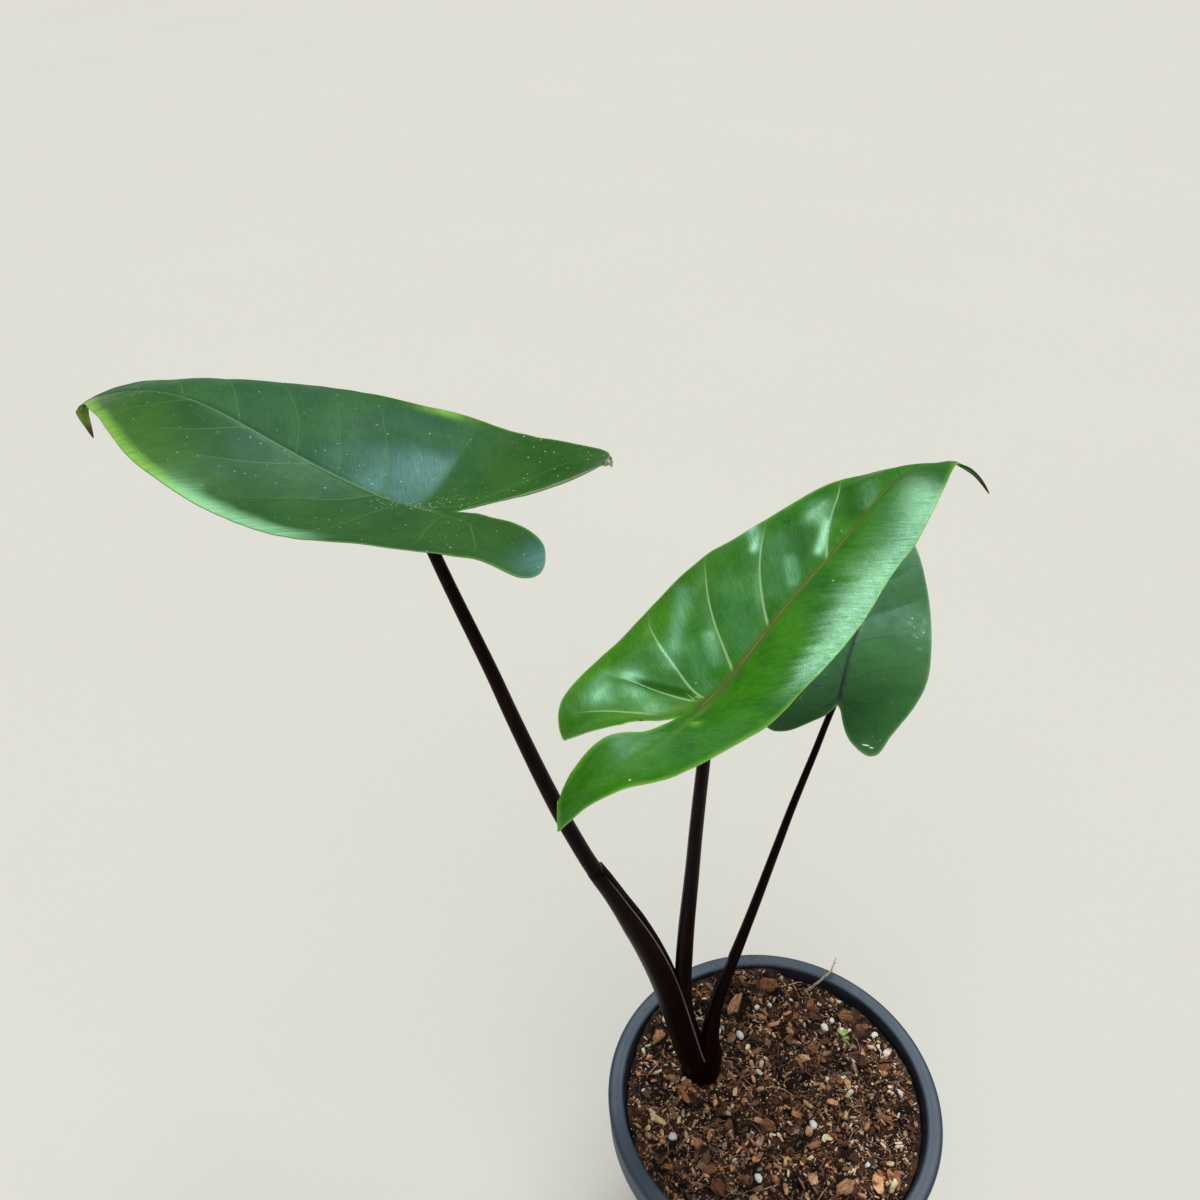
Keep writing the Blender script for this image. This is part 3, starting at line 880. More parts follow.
def painted(flat, length, rows):
    """The strongest of some soft strokes, each given in u and v."""
    out, ragged = np.zeros(len(flat)), 1 + 0.16 * noise(flat / 6.0, 61)
    for a, b, width, strength in rows:
        far = reach(flat, np.array([a, b]) * length)[0] * ragged / width
        out = 1 - (1 - out) * (1 - strength * np.exp(-np.maximum(far, 0) ** 2.0))
    return out


def marks(name, uv, flat, edge, tail, torn):
    """Where a blade is yellowed, browned, dusty and glossy, from 0 to 1."""
    length = LOOK[name]["length"]
    u, v = uv[:, 0], uv[:, 1]
    uneven = layers(flat / 9.0, 21, 3)
    lime, brown, dust = np.zeros(len(u)), np.zeros(len(u)), np.zeros(len(u))
    margin, frosted, shade = np.zeros(len(u)), np.zeros(len(u)), np.zeros(len(u))
    gloss, shadow = np.ones(len(u)), np.zeros(len(u))
    if name == "left":
        band = smooth(0.10, 0.34, u) * (1 - smooth(0.9, 1.0, u))
        lime = (v > 0) * band * (1 - smooth(0.1, 5.5 + 2.0 * uneven, edge)) ** 1.4
        lime = np.maximum(lime, 0.13 * (v > 0) * smooth(0.2, 0.5, u) * (1 - smooth(4.0, 22.0, edge)))
        frosted = (v > 0) * smooth(-0.06, 0.06, u) * (1 - smooth(0.30, 0.50, u)) * (1 - smooth(0.8, 8.5 + 3.0 * uneven, edge))
        patch = np.exp(-((u - 0.14) * length / 8.0) ** 2) * (v < 0) * (1 - smooth(0.8, 5.0, edge))
        lime = np.maximum(lime, 0.75 * patch)
        lime = np.maximum(lime, 0.12 * (1 - smooth(0.2, 1.0, edge)))
        brown = smooth(0.45, 1.1, tail)
        dust = (0.035 + 0.95 * painted(flat, length, [((0.06, 0.02), (-0.01, -0.005), 2.2, 1.0), ((-0.01, -0.005), (-0.06, -0.07), 2.2, 1.0)])
                + 0.06 * (v < 0) * (1 - smooth(-0.12, 0.0, u)) + 0.035 * (1 - smooth(0.02, 0.06, np.abs(v))))
        margin = frosted
        shade = 0.95 * np.exp(-(((u + 0.40) / 0.05) ** 2 + ((v - 0.15) / 0.042) ** 2)) * (v > 0)
        satin = (smooth(-0.004, 0.016, u + 0.012 + 0.228 * (v + 0.02)) * (1 - 0.75 * smooth(0.09, 0.2, u)) * (1 - smooth(0.2, 0.36, u))
                 * (1 - smooth(-0.05, 0.03, -v - 0.19 + 0.3 * (u - 0.03))) * (v < 0))
        far_gloss = 0.08 + 0.20 * satin
        shade = np.maximum(shade, (v < 0) * smooth(0.5, 5.0, edge)
                           * (0.13 * smooth(-0.1, 0.1, u) + satin * np.clip(0.40 + 0.2 * uneven, 0, 1)))
        gloss = np.where(v < 0, far_gloss + 0.06 * uneven, 0.15 + 0.21 * smooth(-0.08, 0.05, u))
    elif name == "middle":
        lime = 0.35 * (1 - smooth(0.2, 1.8, edge)) * (0.55 + 0.45 * (v < 0))
        lime = np.maximum(lime, 0.7 * spot(flat, -0.20, -0.12, length, 1.6))
        brown = smooth(0.45, 0.8, tail) * (1 - smooth(0.9, 0.97, tail))
        torn = smooth(0.9, 0.98, tail)
        brown = brown + spot(flat, -0.16, 0.066, length, 0.9)
        dust = np.full(len(u), 0.0)
        margin = (v < 0) * (1 - smooth(12.0, 24.0, edge)) * smooth(-0.05, 0.05, u)
        rib_v = table([(-0.5, 0.055), (-0.43, 0.09), (-0.354, 0.115), (-0.287, 0.12), (-0.213, 0.105), (-0.14, 0.065),
                       (-0.08, 0.032), (-0.03, 0.012), (0, 0)], u)
        strip = smooth(-0.004, 0.022, rib_v - np.abs(v)) * (u < 0)
        reach_in = table([(-0.3, 7.0), (0.0, 10.0), (0.3, 13.0), (0.6, 17.0), (0.85, 20.0), (1, 22.0)], u)
        ragged = noise(np.stack([(flat[:, 0] - 0.85 * np.abs(flat[:, 1])) / 1.3, np.abs(flat[:, 1]) / 9.0], 1), 23)
        near_gloss = 0.11 + 0.95 * (1 - smooth(0.35, 1.05, edge / reach_in + 0.12 * uneven + 0.2 * ragged)) * smooth(-0.07, 0.08, u)
        near_gloss = near_gloss * (1 - 0.82 * smooth(0.75, 0.89, u))
        near_gloss = np.maximum(near_gloss, 0.36 * strip)
        glint = np.clip(painted(flat, length, GLINTS) * (0.95 + 0.12 * uneven), 0, 1) * (v > 0)
        glint = glint * (1 - (u < 0.12) * (1 - smooth(1.5, 6.5, edge)))
        far_gloss = (0.12 + 0.88 * glint) * (0.4 + 0.6 * smooth(1.5, 4.5, np.abs(flat[:, 1])))
        gloss = np.where(v < 0, near_gloss, far_gloss + 0.4 * spot(flat, -0.10, 0.085, length, 4.0))
        wedge = reach(flat, along(np.array(LOOK[name]["creases"][0]) * length, np.linspace(0, 1, 24)))[0]
        dark = (v > 0) * (1 - smooth(0.9, 2.6, wedge)) * (1 - smooth(0.14, 0.19, v)) * smooth(0.035, 0.06, v)
        gloss = gloss * (1 - 0.9 * dark)
        shadow = np.maximum(dark, painted(flat, length, DARKS) * (v > 0))
        shadow = np.maximum(shadow, 0.3 * (v < 0) * smooth(0.76, 0.9, u) * smooth(0.3, 2.0, edge))
        shade = ((v > 0) * (1 - dark) * np.clip(0.62 * glint ** 1.35 + 0.02 * smooth(1.0, 8.0, edge) * (1 + uneven), 0, 1))
        lime = np.maximum(lime, 0.11 * (v > 0) * (1 - smooth(2.0, 15.0, edge)) * (1 - smooth(0.35, 0.6, u)))
    else:
        lime = 0.3 * (1 - smooth(0.2, 1.1, edge))
        for a, b in ((0.47, -0.20), (0.52, -0.17), (0.40, -0.23), (0.55, -0.22)):
            lime = np.maximum(lime, 0.4 * spot(flat, a, b, length, 0.8))
        brown = smooth(0.3, 0.9, tail)
        dust = np.full(len(u), 0.02)
        gloss = 0.45 + 0.35 * smooth(0.05, 0.3, u)
    return (np.stack([np.clip(lime, 0, 1), np.clip(brown, 0, 1), np.clip(dust, 0, 1)], 1),
            np.stack([np.clip(margin, 0, 1), np.clip(frosted, 0, 1), np.clip(torn, 0, 1)], 1),
            np.stack([np.clip(gloss, 0, 1.2), np.clip(shade, 0, 1), (uv[:, 0] > 1.0) * 1.0], 1), shadow)


# small things lying on the blades: u, v, radius in mm, stretch, what
SPECKS = {
    "left": [],
    "middle": [(0.557, 0.155, 0.95, 1.0, "drop"), (-0.409, -0.137, 0.45, 1.0, "pale"), (0.455, -0.053, 0.42, 1.0, "pale"),
               (-0.16, 0.08, 0.6, 1.0, "brown"), (0.60, 0.02, 0.3, 1.0, "pale"), (0.03, 0.06, 0.3, 1.0, "pale")],
    "right": [(-0.375, -0.132, 1.4, 0.35, "white"), (-0.383, -0.15, 0.8, 0.5, "white"), (0.55, -0.173, 0.5, 1.0, "pale"),
              (0.498, -0.227, 0.55, 1.0, "pale"), (0.51, -0.19, 0.35, 1.0, "pale"), (0.46, -0.21, 0.4, 1.0, "pale")],
}


def leaf_top(name, deep, light, veined, midrib, midline, lateral, ribs, lime, rim, rough, net, specular, streak, tint,
             tail, bloom):
    """veined: how far the green pales beside the veins. net: how far the fine veins show."""
    n = Nodes("leaf_top_" + name)
    vein, mid, edge = n.parts(n.attr("dist"))
    mid_b, lat_s, rib_s = n.parts(n.attr("bands"))
    lat, rib, where = n.parts(n.attr("near"))
    lime_m, brown_m, dust_m = n.parts(n.attr("marks"))
    margin_m, frosted_m, torn_m = n.parts(n.attr("sheen"))
    gloss_m, shade_m, tail_m = n.parts(n.attr("paint"))
    shadow_m, rib_at = n.attr("shadow", "Fac"), n.attr("rib_at", "Fac")
    lc, pq = n.attr("lc"), n.attr("pq")
    broad = n.noise(n.scaled(lc, (0.045, 0.045, 0.045)), 1.0, 4.0, 0.6)
    mottled = n.noise(n.scaled(lc, (0.45, 0.45, 0.45)), 1.0, 4.0, 0.6)
    streaks = n.noise(n.scaled(pq, (1.4, 0.22, 0.3)), 1.0, 3.0, 0.6)
    brushed = n.noise(n.scaled(pq, (1.9, 0.10, 0.3)), 1.0, 4.0, 0.65)
    network = n.span(n.cells(n.scaled(pq, (0.62, 0.24, 0.3)), 1.0, "DISTANCE_TO_EDGE"), 0.0, 0.14)
    grain = n.noise(n.scaled(lc, (4.0, 4.0, 4.0)), 1.0, 2.0, 0.5)
    color = n.mix(n.span(broad, 0.32, 0.68), deep, light)
    color = n.mix(n.span(mottled, 0.35, 0.75, 0.0, 0.30), color, tuple(0.62 * c for c in deep[:3]) + (1.0,))
    color = n.mix(n.span(vein, 0.0, 3.5, veined, 0.0), color, lateral)
    color = n.mix(n.math("MULTIPLY", n.math("SUBTRACT", 1.0, network), net), color, lateral)
    color = n.mix(n.span(streaks, 0.45, 0.75, 0.0, net), color, lateral)
    color = n.mix(n.math("MULTIPLY", shadow_m, 0.62), color, tuple(0.35 * c for c in deep[:3]) + (1.0,))
    patchy = n.span(n.noise(n.scaled(pq, (0.35, 0.12, 0.2)), 1.0, 3.0), 0.25, 0.6, 0.6, 1.0)
    color = n.mix(n.math("MULTIPLY", lime_m, patchy, True), color, lime)
    frost = n.math("MULTIPLY", frosted_m, n.span(brushed, 0.36, 0.62, 0.38, 1.0))
    color = n.mix(n.math("MULTIPLY", frost, 0.95), color, rgb(176, 248, 190))
    color = n.mix(n.math("MULTIPLY", shade_m, n.span(streaks, 0.32, 0.66, 0.62, 1.0)), color, bloom)
    lat_line = n.math("MULTIPLY", n.span(n.math("ABSOLUTE", lat_s), 0.45, 1.1, 0.9, 0.0), n.span(lat, 1.2, 2.2, 1.0, 0.0))
    color = n.mix(n.math("MULTIPLY", lat_line, n.span(where, 0.75, 1.0, 1.0, 0.15)), color, lateral)
    rib_line = n.math("MULTIPLY", n.span(n.math("ABSOLUTE", rib_s), 0.5, 1.3, 0.8, 0.0), n.span(rib, 1.2, 2.4, 1.0, 0.0))
    color = n.mix(n.math("MULTIPLY", rib_line, n.span(rib_at, 0.2, 0.75, 1.0, 0.2)), color, ribs)
    color = n.mix(n.span(mid_b, 0.5, 1.3, 0.9, 0.0), color, midrib)
    line = n.math("MULTIPLY", n.span(mid, 0.10, 0.30, 1.0, 0.0),
                  n.span(n.noise(n.scaled(lc, (0.08, 0, 0)), 1.0), 0.35, 0.5, 0.2, 0.7))
    color = n.mix(line, color, midline)
    color = n.mix(n.span(edge, 0.10, 0.36, 0.7, 0.0), color, rim)
    color = n.mix(n.math("MULTIPLY", tail_m, 0.94), color, tail)
    color = n.mix(n.span(brown_m, 0.25, 0.9), color, n.ramp(grain, [(0.3, rgb(74, 24, 10)), (0.62, rgb(112, 50, 22))]))
    ragged = n.noise(n.scaled(lc, (1.5, 1.5, 1.5)), 1.0, 3.0, 0.7)
    color = n.mix(n.span(torn_m, 0.35, 0.6), color,
                  n.ramp(ragged, [(0.36, rgb(40, 30, 24)), (0.5, rgb(168, 160, 140)), (0.62, rgb(232, 232, 222))]))
    for u, v, radius, stretch, what in SPECKS[name]:
        length = LOOK[name]["length"]
        off = n.add("ShaderNodeVectorMath", {0: n.scaled(lc, (1, 1, 0)), 1: (u * length, v * length, 0)},
                    operation="SUBTRACT").outputs[0]
        far = n.add("ShaderNodeVectorMath", {0: n.scaled(off, (1 / stretch, 1, 0))}, operation="LENGTH").outputs["Value"]
        if what == "drop":
            color = n.mix(n.span(far, radius * 0.55, radius, 0.75, 0.0), color, tuple(0.25 * c for c in deep[:3]) + (1.0,))
            color = n.mix(n.span(far, 0.0, radius * 0.35, 0.8, 0.0), color, rgb(170, 214, 190))
        else:
            shown = {"pale": rgb(206, 222, 178), "white": rgb(248, 250, 244), "brown": rgb(110, 84, 52)}[what]
            color = n.mix(n.span(far, radius * 0.5, radius, 0.9 if what == "white" else 0.7, 0.0), color, shown)
    fleck = n.add("ShaderNodeTexVoronoi", {"Vector": n.scaled(lc, (1.15, 1.15, 0.0)), "Scale": 1.0},
                  voronoi_dimensions="2D")
    seed = n.parts(fleck.outputs["Color"])
    size = n.span(seed[1], 0.2, 1.0, 0.08, 0.24)
    near = n.math("LESS_THAN", n.math("ADD", fleck.outputs["Distance"], n.span(grain, 0.3, 0.7, -0.05, 0.05)), size)
    chosen = n.math("LESS_THAN", seed[0], n.math("MULTIPLY", dust_m, 0.55))
    flecks = n.math("MULTIPLY", near, chosen)
    color = n.mix(n.math("MULTIPLY", flecks, n.span(seed[2], 0.1, 0.9, 0.35, 0.95)), color, rgb(214, 230, 204))
    rough = n.span(mottled, 0.3, 0.7, rough - 0.03, rough + 0.04)
    rough = n.math("ADD", rough, n.math("MULTIPLY", flecks, 0.35), True)
    rough = n.math("ADD", rough, n.span(gloss_m, 0.0, 0.8, 0.16, 0.0), True)
    height = n.math("ADD", n.math("MULTIPLY", network, 0.5), n.math("MULTIPLY", streaks, 0.6))
    normal = n.bump(height, 0.14, 0.00016)
    normal = n.bump(n.math("MULTIPLY", brushed, n.span(margin_m, 0.0, 1.0, 0.25, 1.0)), streak, 0.00012, normal)
    normal = n.bump(grain, 0.08, 0.00006, normal)
    brush = n.math("MULTIPLY", n.math("SUBTRACT", brushed, 0.5), n.math("MULTIPLY", margin_m, 1.5))
    gloss_m = n.math("MAXIMUM", n.math("ADD", gloss_m, n.math("MULTIPLY", brush, gloss_m)), 0.05)
    shine = n.math("MULTIPLY", n.math("MULTIPLY", gloss_m, specular), n.math("SUBTRACT", 1.0, torn_m))
    return n.finish(color, rough, normal, Specular_IOR_Level=shine, Specular_Tint=tint)


def leaf_under(name, base, light, veins, midrib, tail):
    n = Nodes("leaf_under_" + name)
    edge = n.parts(n.attr("dist"))[2]
    mid_b, lat_s, rib_s = n.parts(n.attr("bands"))
    lat, rib, where = n.parts(n.attr("near"))
    brown_m = n.parts(n.attr("marks"))[1]
    lc, pq = n.attr("lc"), n.attr("pq")
    broad = n.noise(n.scaled(lc, (0.06, 0.06, 0.06)), 1.0, 4.0, 0.6)
    network = n.span(n.cells(n.scaled(pq, (0.62, 0.24, 0.3)), 1.0, "DISTANCE_TO_EDGE"), 0.0, 0.16)
    grain = n.noise(n.scaled(lc, (3.0, 3.0, 3.0)), 1.0, 3.0, 0.5)
    color = n.mix(n.span(broad, 0.3, 0.7), base, light)
    color = n.mix(n.span(network, 0.0, 1.0, 0.3, 0.0), color, veins)
    lat_line = n.math("MULTIPLY", n.span(n.math("ABSOLUTE", lat_s), 0.8, 1.9, 0.85, 0.0), n.span(lat, 1.4, 2.4, 1.0, 0.0))
    color = n.mix(lat_line, color, veins)
    rib_line = n.math("MULTIPLY", n.span(n.math("ABSOLUTE", rib_s), 0.9, 1.6, 0.85, 0.0), n.span(rib, 1.6, 2.8, 1.0, 0.0))
    color = n.mix(rib_line, color, midrib)
    color = n.mix(n.span(mid_b, 1.1, 1.7, 0.95, 0.0), color, midrib)
    color = n.mix(n.span(edge, 0.2, 1.7, 0.85, 0.0), color, rgb(190, 220, 164))
    color = n.mix(n.math("MULTIPLY", n.parts(n.attr("paint"))[2], 0.94), color, tail)
    color = n.mix(n.span(brown_m, 0.25, 0.8), color, rgb(74, 36, 24))
    rough = n.span(grain, 0.3, 0.7, 0.46, 0.58)
    normal = n.bump(network, 0.3, 0.00025)
    normal = n.bump(grain, 0.15, 0.0001, normal)
    return n.finish(color, rough, normal)


LEAF_TOPS = {
    "left": leaf_top("left", rgb(44, 92, 38), rgb(62, 110, 42), 0.05, rgb(82, 120, 72), rgb(108, 140, 92),
                     rgb(76, 124, 68), rgb(80, 122, 66), rgb(150, 214, 84), rgb(124, 170, 92), 0.32, 0.08, 0.95, 0.4,
                     (0.45, 0.84, 1.0, 1.0), rgb(112, 150, 12), rgb(100, 154, 152)),
    "middle": leaf_top("middle", rgb(32, 104, 5), rgb(60, 132, 6), 0.06, rgb(84, 108, 42), rgb(142, 154, 96),
                       rgb(146, 190, 128), rgb(92, 134, 46), rgb(140, 204, 60), rgb(140, 196, 92), 0.29, 0.05, 1.0, 0.6,
                       (0.50, 1.0, 0.73, 1.0), rgb(44, 84, 14), rgb(130, 204, 156)),
    "right": leaf_top("right", rgb(54, 106, 54), rgb(66, 122, 62), 0.04, rgb(48, 44, 52), rgb(60, 52, 60),
                      rgb(52, 80, 60), rgb(54, 84, 60), rgb(150, 190, 130), rgb(118, 162, 112), 0.42, 0.06, 0.42, 0.3,
                      (0.52, 1.0, 0.85, 1.0), rgb(48, 70, 40), rgb(110, 160, 130)),
}
LEAF_UNDERS = {
    "left": leaf_under("left", rgb(104, 132, 98), rgb(124, 150, 112), rgb(134, 146, 110), rgb(62, 40, 40), rgb(112, 150, 12)),
    "middle": leaf_under("middle", rgb(112, 158, 84), rgb(132, 174, 98), rgb(150, 176, 116), rgb(74, 52, 44), rgb(44, 84, 14)),
    "right": leaf_under("right", rgb(100, 130, 104), rgb(118, 146, 114), rgb(92, 92, 82), rgb(50, 34, 38), rgb(48, 70, 40)),
}
for blade_name, leaf in LEAVES.items():
    blade(blade_name, leaf, [LEAF_TOPS[blade_name], LEAF_UNDERS[blade_name]])


# ---------------------------------------------------------------- leaf stalks
def stalk_skin():
    n = Nodes("stalk_skin")
    a, s, line = n.parts(n.attr("st"))
    st = n.attr("st")
    streaks = n.noise(n.scaled(st, (2.4, 0.09, 1.0)), 1.0, 4.0, 0.6)
    fine = n.noise(n.scaled(st, (7.0, 0.5, 1.0)), 1.0, 3.0, 0.5)
    blotch = n.noise(n.scaled(st, (0.35, 0.08, 1.0)), 1.0, 3.0, 0.5)
    color = n.ramp(streaks, [(0.28, rgb(8, 3, 3)), (0.55, rgb(18, 6, 7)), (0.74, rgb(52, 18, 16))])
    color = n.mix(n.span(blotch, 0.45, 0.75, 0.0, 0.4), color, rgb(32, 14, 14))
    color = n.mix(n.span(line, 0.45, 0.8, 0.0, 0.85), color, rgb(166, 150, 154))
    rough = n.span(fine, 0.3, 0.7, 0.32, 0.44)
    normal = n.bump(streaks, 0.35, 0.0003)
    normal = n.bump(fine, 0.2, 0.0001, normal)
    return n.finish(color, rough, normal, Specular_IOR_Level=0.055, Specular_Tint=(1.0, 0.76, 0.74, 1.0))


# the sheaths: extra radius in mm, channel depth and how far the nearer wing closes, by height
SHEATHS = {
    "left": dict(extra=[(184, 0), (196, 0.1), (208, 0.42), (212.6, 0.5), (214.0, -0.12), (221, -0.14), (231, -0.1), (244, 0)],
                 channel=[(150, 1), (196, 1), (208, 0.8), (212.4, 0.5), (213.8, 0)],
                 close=[(110, 1), (125, 0.95), (142, 0.78), (158, 0.62), (172, 0.56), (190, 0.56), (205, 0.62)], line=1.0),
    "middle": dict(extra=[(0, 0)], channel=[(0, 0)], close=[(0, 1)], line=0.0),
    "right": dict(extra=[(0, 0)], channel=[(84, 1), (128, 1), (142, 0.35), (148, 0)], close=[(0, 0.45)], line=0.15),
}


def stalk(name, data, leaf, skin, stations=260, arc=22):
    ctrl = leaf["ctrl"]
    zero, h = np.array([0.0]), 1e-3
    point = surface(ctrl, zero, zero)[0]
    normal = unit(np.cross((surface(ctrl, zero + h, zero) - surface(ctrl, zero - h, zero))[0],
                           (surface(ctrl, zero, zero + h) - surface(ctrl, zero, zero - h))[0]))
    normal = -normal if normal[2] < 0 else normal
    top = point - 0.8 * normal
    s = np.linspace(0, 1, stations + 1)
    c = along(data["path"], s)
    d = unit(along(data["path"], np.minimum(1, s + 0.01)) - along(data["path"], np.maximum(0, s - 0.01)))
    far = (((point - 1.25 * normal) - c[-1]) @ normal) / (d[-1] @ normal) + 0.45 / (d[-1] @ normal)
    c = c + d[-1] * far * smooth(0.85, 1, s)[:, None]
    facing = np.array(data["facing"], float)
    x = unit(facing - d * (d @ facing)[:, None])
    y = np.cross(d, x)
    z = c[:, 2]
    sheath = SHEATHS[name]
    r, depth = table(data["radius"], z) + table(sheath["extra"], z), table(sheath["channel"], z)
    gap, wall = np.radians(table(data["halfGap"], z)), table(data["wall"], z)
    closed = gap * table(sheath["close"], z)
    near_first = y[0, 1] < 0
    first, last = (closed, gap) if near_first else (gap, closed)
    flare = 1 + 0.22 * smooth(5.0, 0.0, (s[-1] - s) * np.linalg.norm(np.diff(c, axis=0), axis=1).sum())
    m = arc
    verts, st = [], []
    length = np.concatenate([[0], np.cumsum(np.linalg.norm(np.diff(c, axis=0), axis=1))])
    for j in range(2 * m):
        if j < m:
            a = first + (2 * np.pi - first - last) * j / (m - 1)
            ripple = 1 + 0.012 * np.sin(9 * a + 0.02 * length) + 0.008 * np.sin(17 * a + 1.3)
            px, py = r * flare * ripple * np.cos(a), r * flare * ripple * np.sin(a)
            line = depth * sheath["line"] * (j == (0 if near_first else m - 1))
            around = a * r
        else:
            f = (j - m + 1) / (m + 1)
            cap = -last + (first + last) * f
            a = 2 * np.pi - last - 0.06 + (first + last - 2 * np.pi + 0.12) * f
            ri = r - wall * (0.75 + 0.5 * np.sin(np.pi * f))
            px = (1 - depth) * r * flare * np.cos(cap) + depth * ri * np.cos(a)
            py = (1 - depth) * r * flare * np.sin(cap) + depth * ri * np.sin(a)
            line = depth * 0.0
            around = a * r
        q = c + x * (px + 0.85 * table(sheath["extra"], z))[:, None] + y * py[:, None]
        q[-1] += d[-1] * (((top - q[-1]) @ normal) / (d[-1] @ normal))
        q[0, 2] = CROWN_TOP
        verts.append(q)
        st.append(np.stack([around, length, np.broadcast_to(line, length.shape)], 1))
    verts, st = np.array(verts).transpose(1, 0, 2), np.array(st).transpose(1, 0, 2)
    ring = 2 * m
    ids = np.arange((stations + 1) * ring).reshape(stations + 1, ring)
    nxt = np.roll(ids, -1, axis=1)
    quads = np.stack([ids[:-1], nxt[:-1], nxt[1:], ids[1:]], -1).reshape(-1, 4)
    caps = []
    for k, flip in ((0, True), (stations, False)):
        for j in range(m - 1):
            q = [ids[k, j], ids[k, j + 1], ids[k, ring - 2 - j], ids[k, ring - 1 - j]]
            caps.append(q[::-1] if flip else q)
    me = new_mesh("petiole_" + name, verts.reshape(-1, 3), np.vstack([quads, caps]))
    attach(me, "st", st.reshape(-1, 3))
    place(me, [skin], "stalk", ["stalk_" + name])


STALK_SKIN = stalk_skin()
for stalk_name, data in STALKS.items():
    stalk(stalk_name, data, LEAVES[stalk_name], STALK_SKIN)


# ---------------------------------------------------------------- pot
def inner_radius(z):
    return FLOOR_INNER + (LIP_INNER - FLOOR_INNER) * (z - FLOOR) / (POT_HEIGHT - 1.2 - FLOOR)


def pot_plastic():
    n = Nodes("pot_plastic")
    where = metres(n)
    x, y, z = n.parts(where)
    cloud = n.noise(n.scaled(where, (28, 28, 28)), 1.0, 4.0, 0.6)
    pits = n.noise(n.scaled(where, (900, 900, 900)), 1.0, 2.0, 0.5)
    scuffs = n.noise(n.scaled(where, (60, 60, 420)), 1.0, 4.0, 0.65, 0.4)
    color = n.ramp(cloud, [(0.3, rgb(50, 67, 85)), (0.7, rgb(63, 81, 98))])
    radius = n.math("SQRT", n.math("ADD", n.math("MULTIPLY", x, x), n.math("MULTIPLY", y, y)))
    inside = n.math("MULTIPLY", n.span(radius, 0.05455, 0.05485, 1.0, 0.0), n.span(z, 0.1043, 0.1049, 1.0, 0.0))
    rings = n.noise(n.scaled(n.add("ShaderNodeCombineXYZ", {2: z}).outputs[0], (1, 1, 1900)), 1.0, 2.0, 0.6)
    deep = n.mix(n.span(rings, 0.42, 0.66), rgb(20, 28, 42), rgb(44, 58, 76))
    color = n.mix(inside, color, deep)
    specks = n.math("MULTIPLY", n.span(n.noise(n.scaled(where, (1500, 1500, 1500)), 1.0, 1.0, 0.5), 0.66, 0.72),
                    n.span(y, 0.02, 0.05, 0.1, 0.7))
    color = n.mix(specks, color, n.mix(n.span(cloud, 0.48, 0.52), rgb(40, 36, 36), rgb(156, 146, 136)))
    color = n.mix(n.span(scuffs, 0.60, 0.82, 0.0, 0.4), color, rgb(120, 130, 140))
    dust = n.noise(n.scaled(where, (420, 420, 420)), 1.0, 3.0, 0.6)
    soiled = n.math("MULTIPLY", n.span(dust, 0.60, 0.74), n.span(radius, 0.0585, 0.054, 0.0, 0.55))
    color = n.mix(soiled, color, rgb(78, 58, 46))
    rough = n.span(cloud, 0.3, 0.7, 0.46, 0.58)
    normal = n.bump(pits, 0.25, 0.00012)
    normal = n.bump(scuffs, 0.12, 0.0001, normal)
    return n.finish(color, rough, normal, Specular_IOR_Level=0.45)


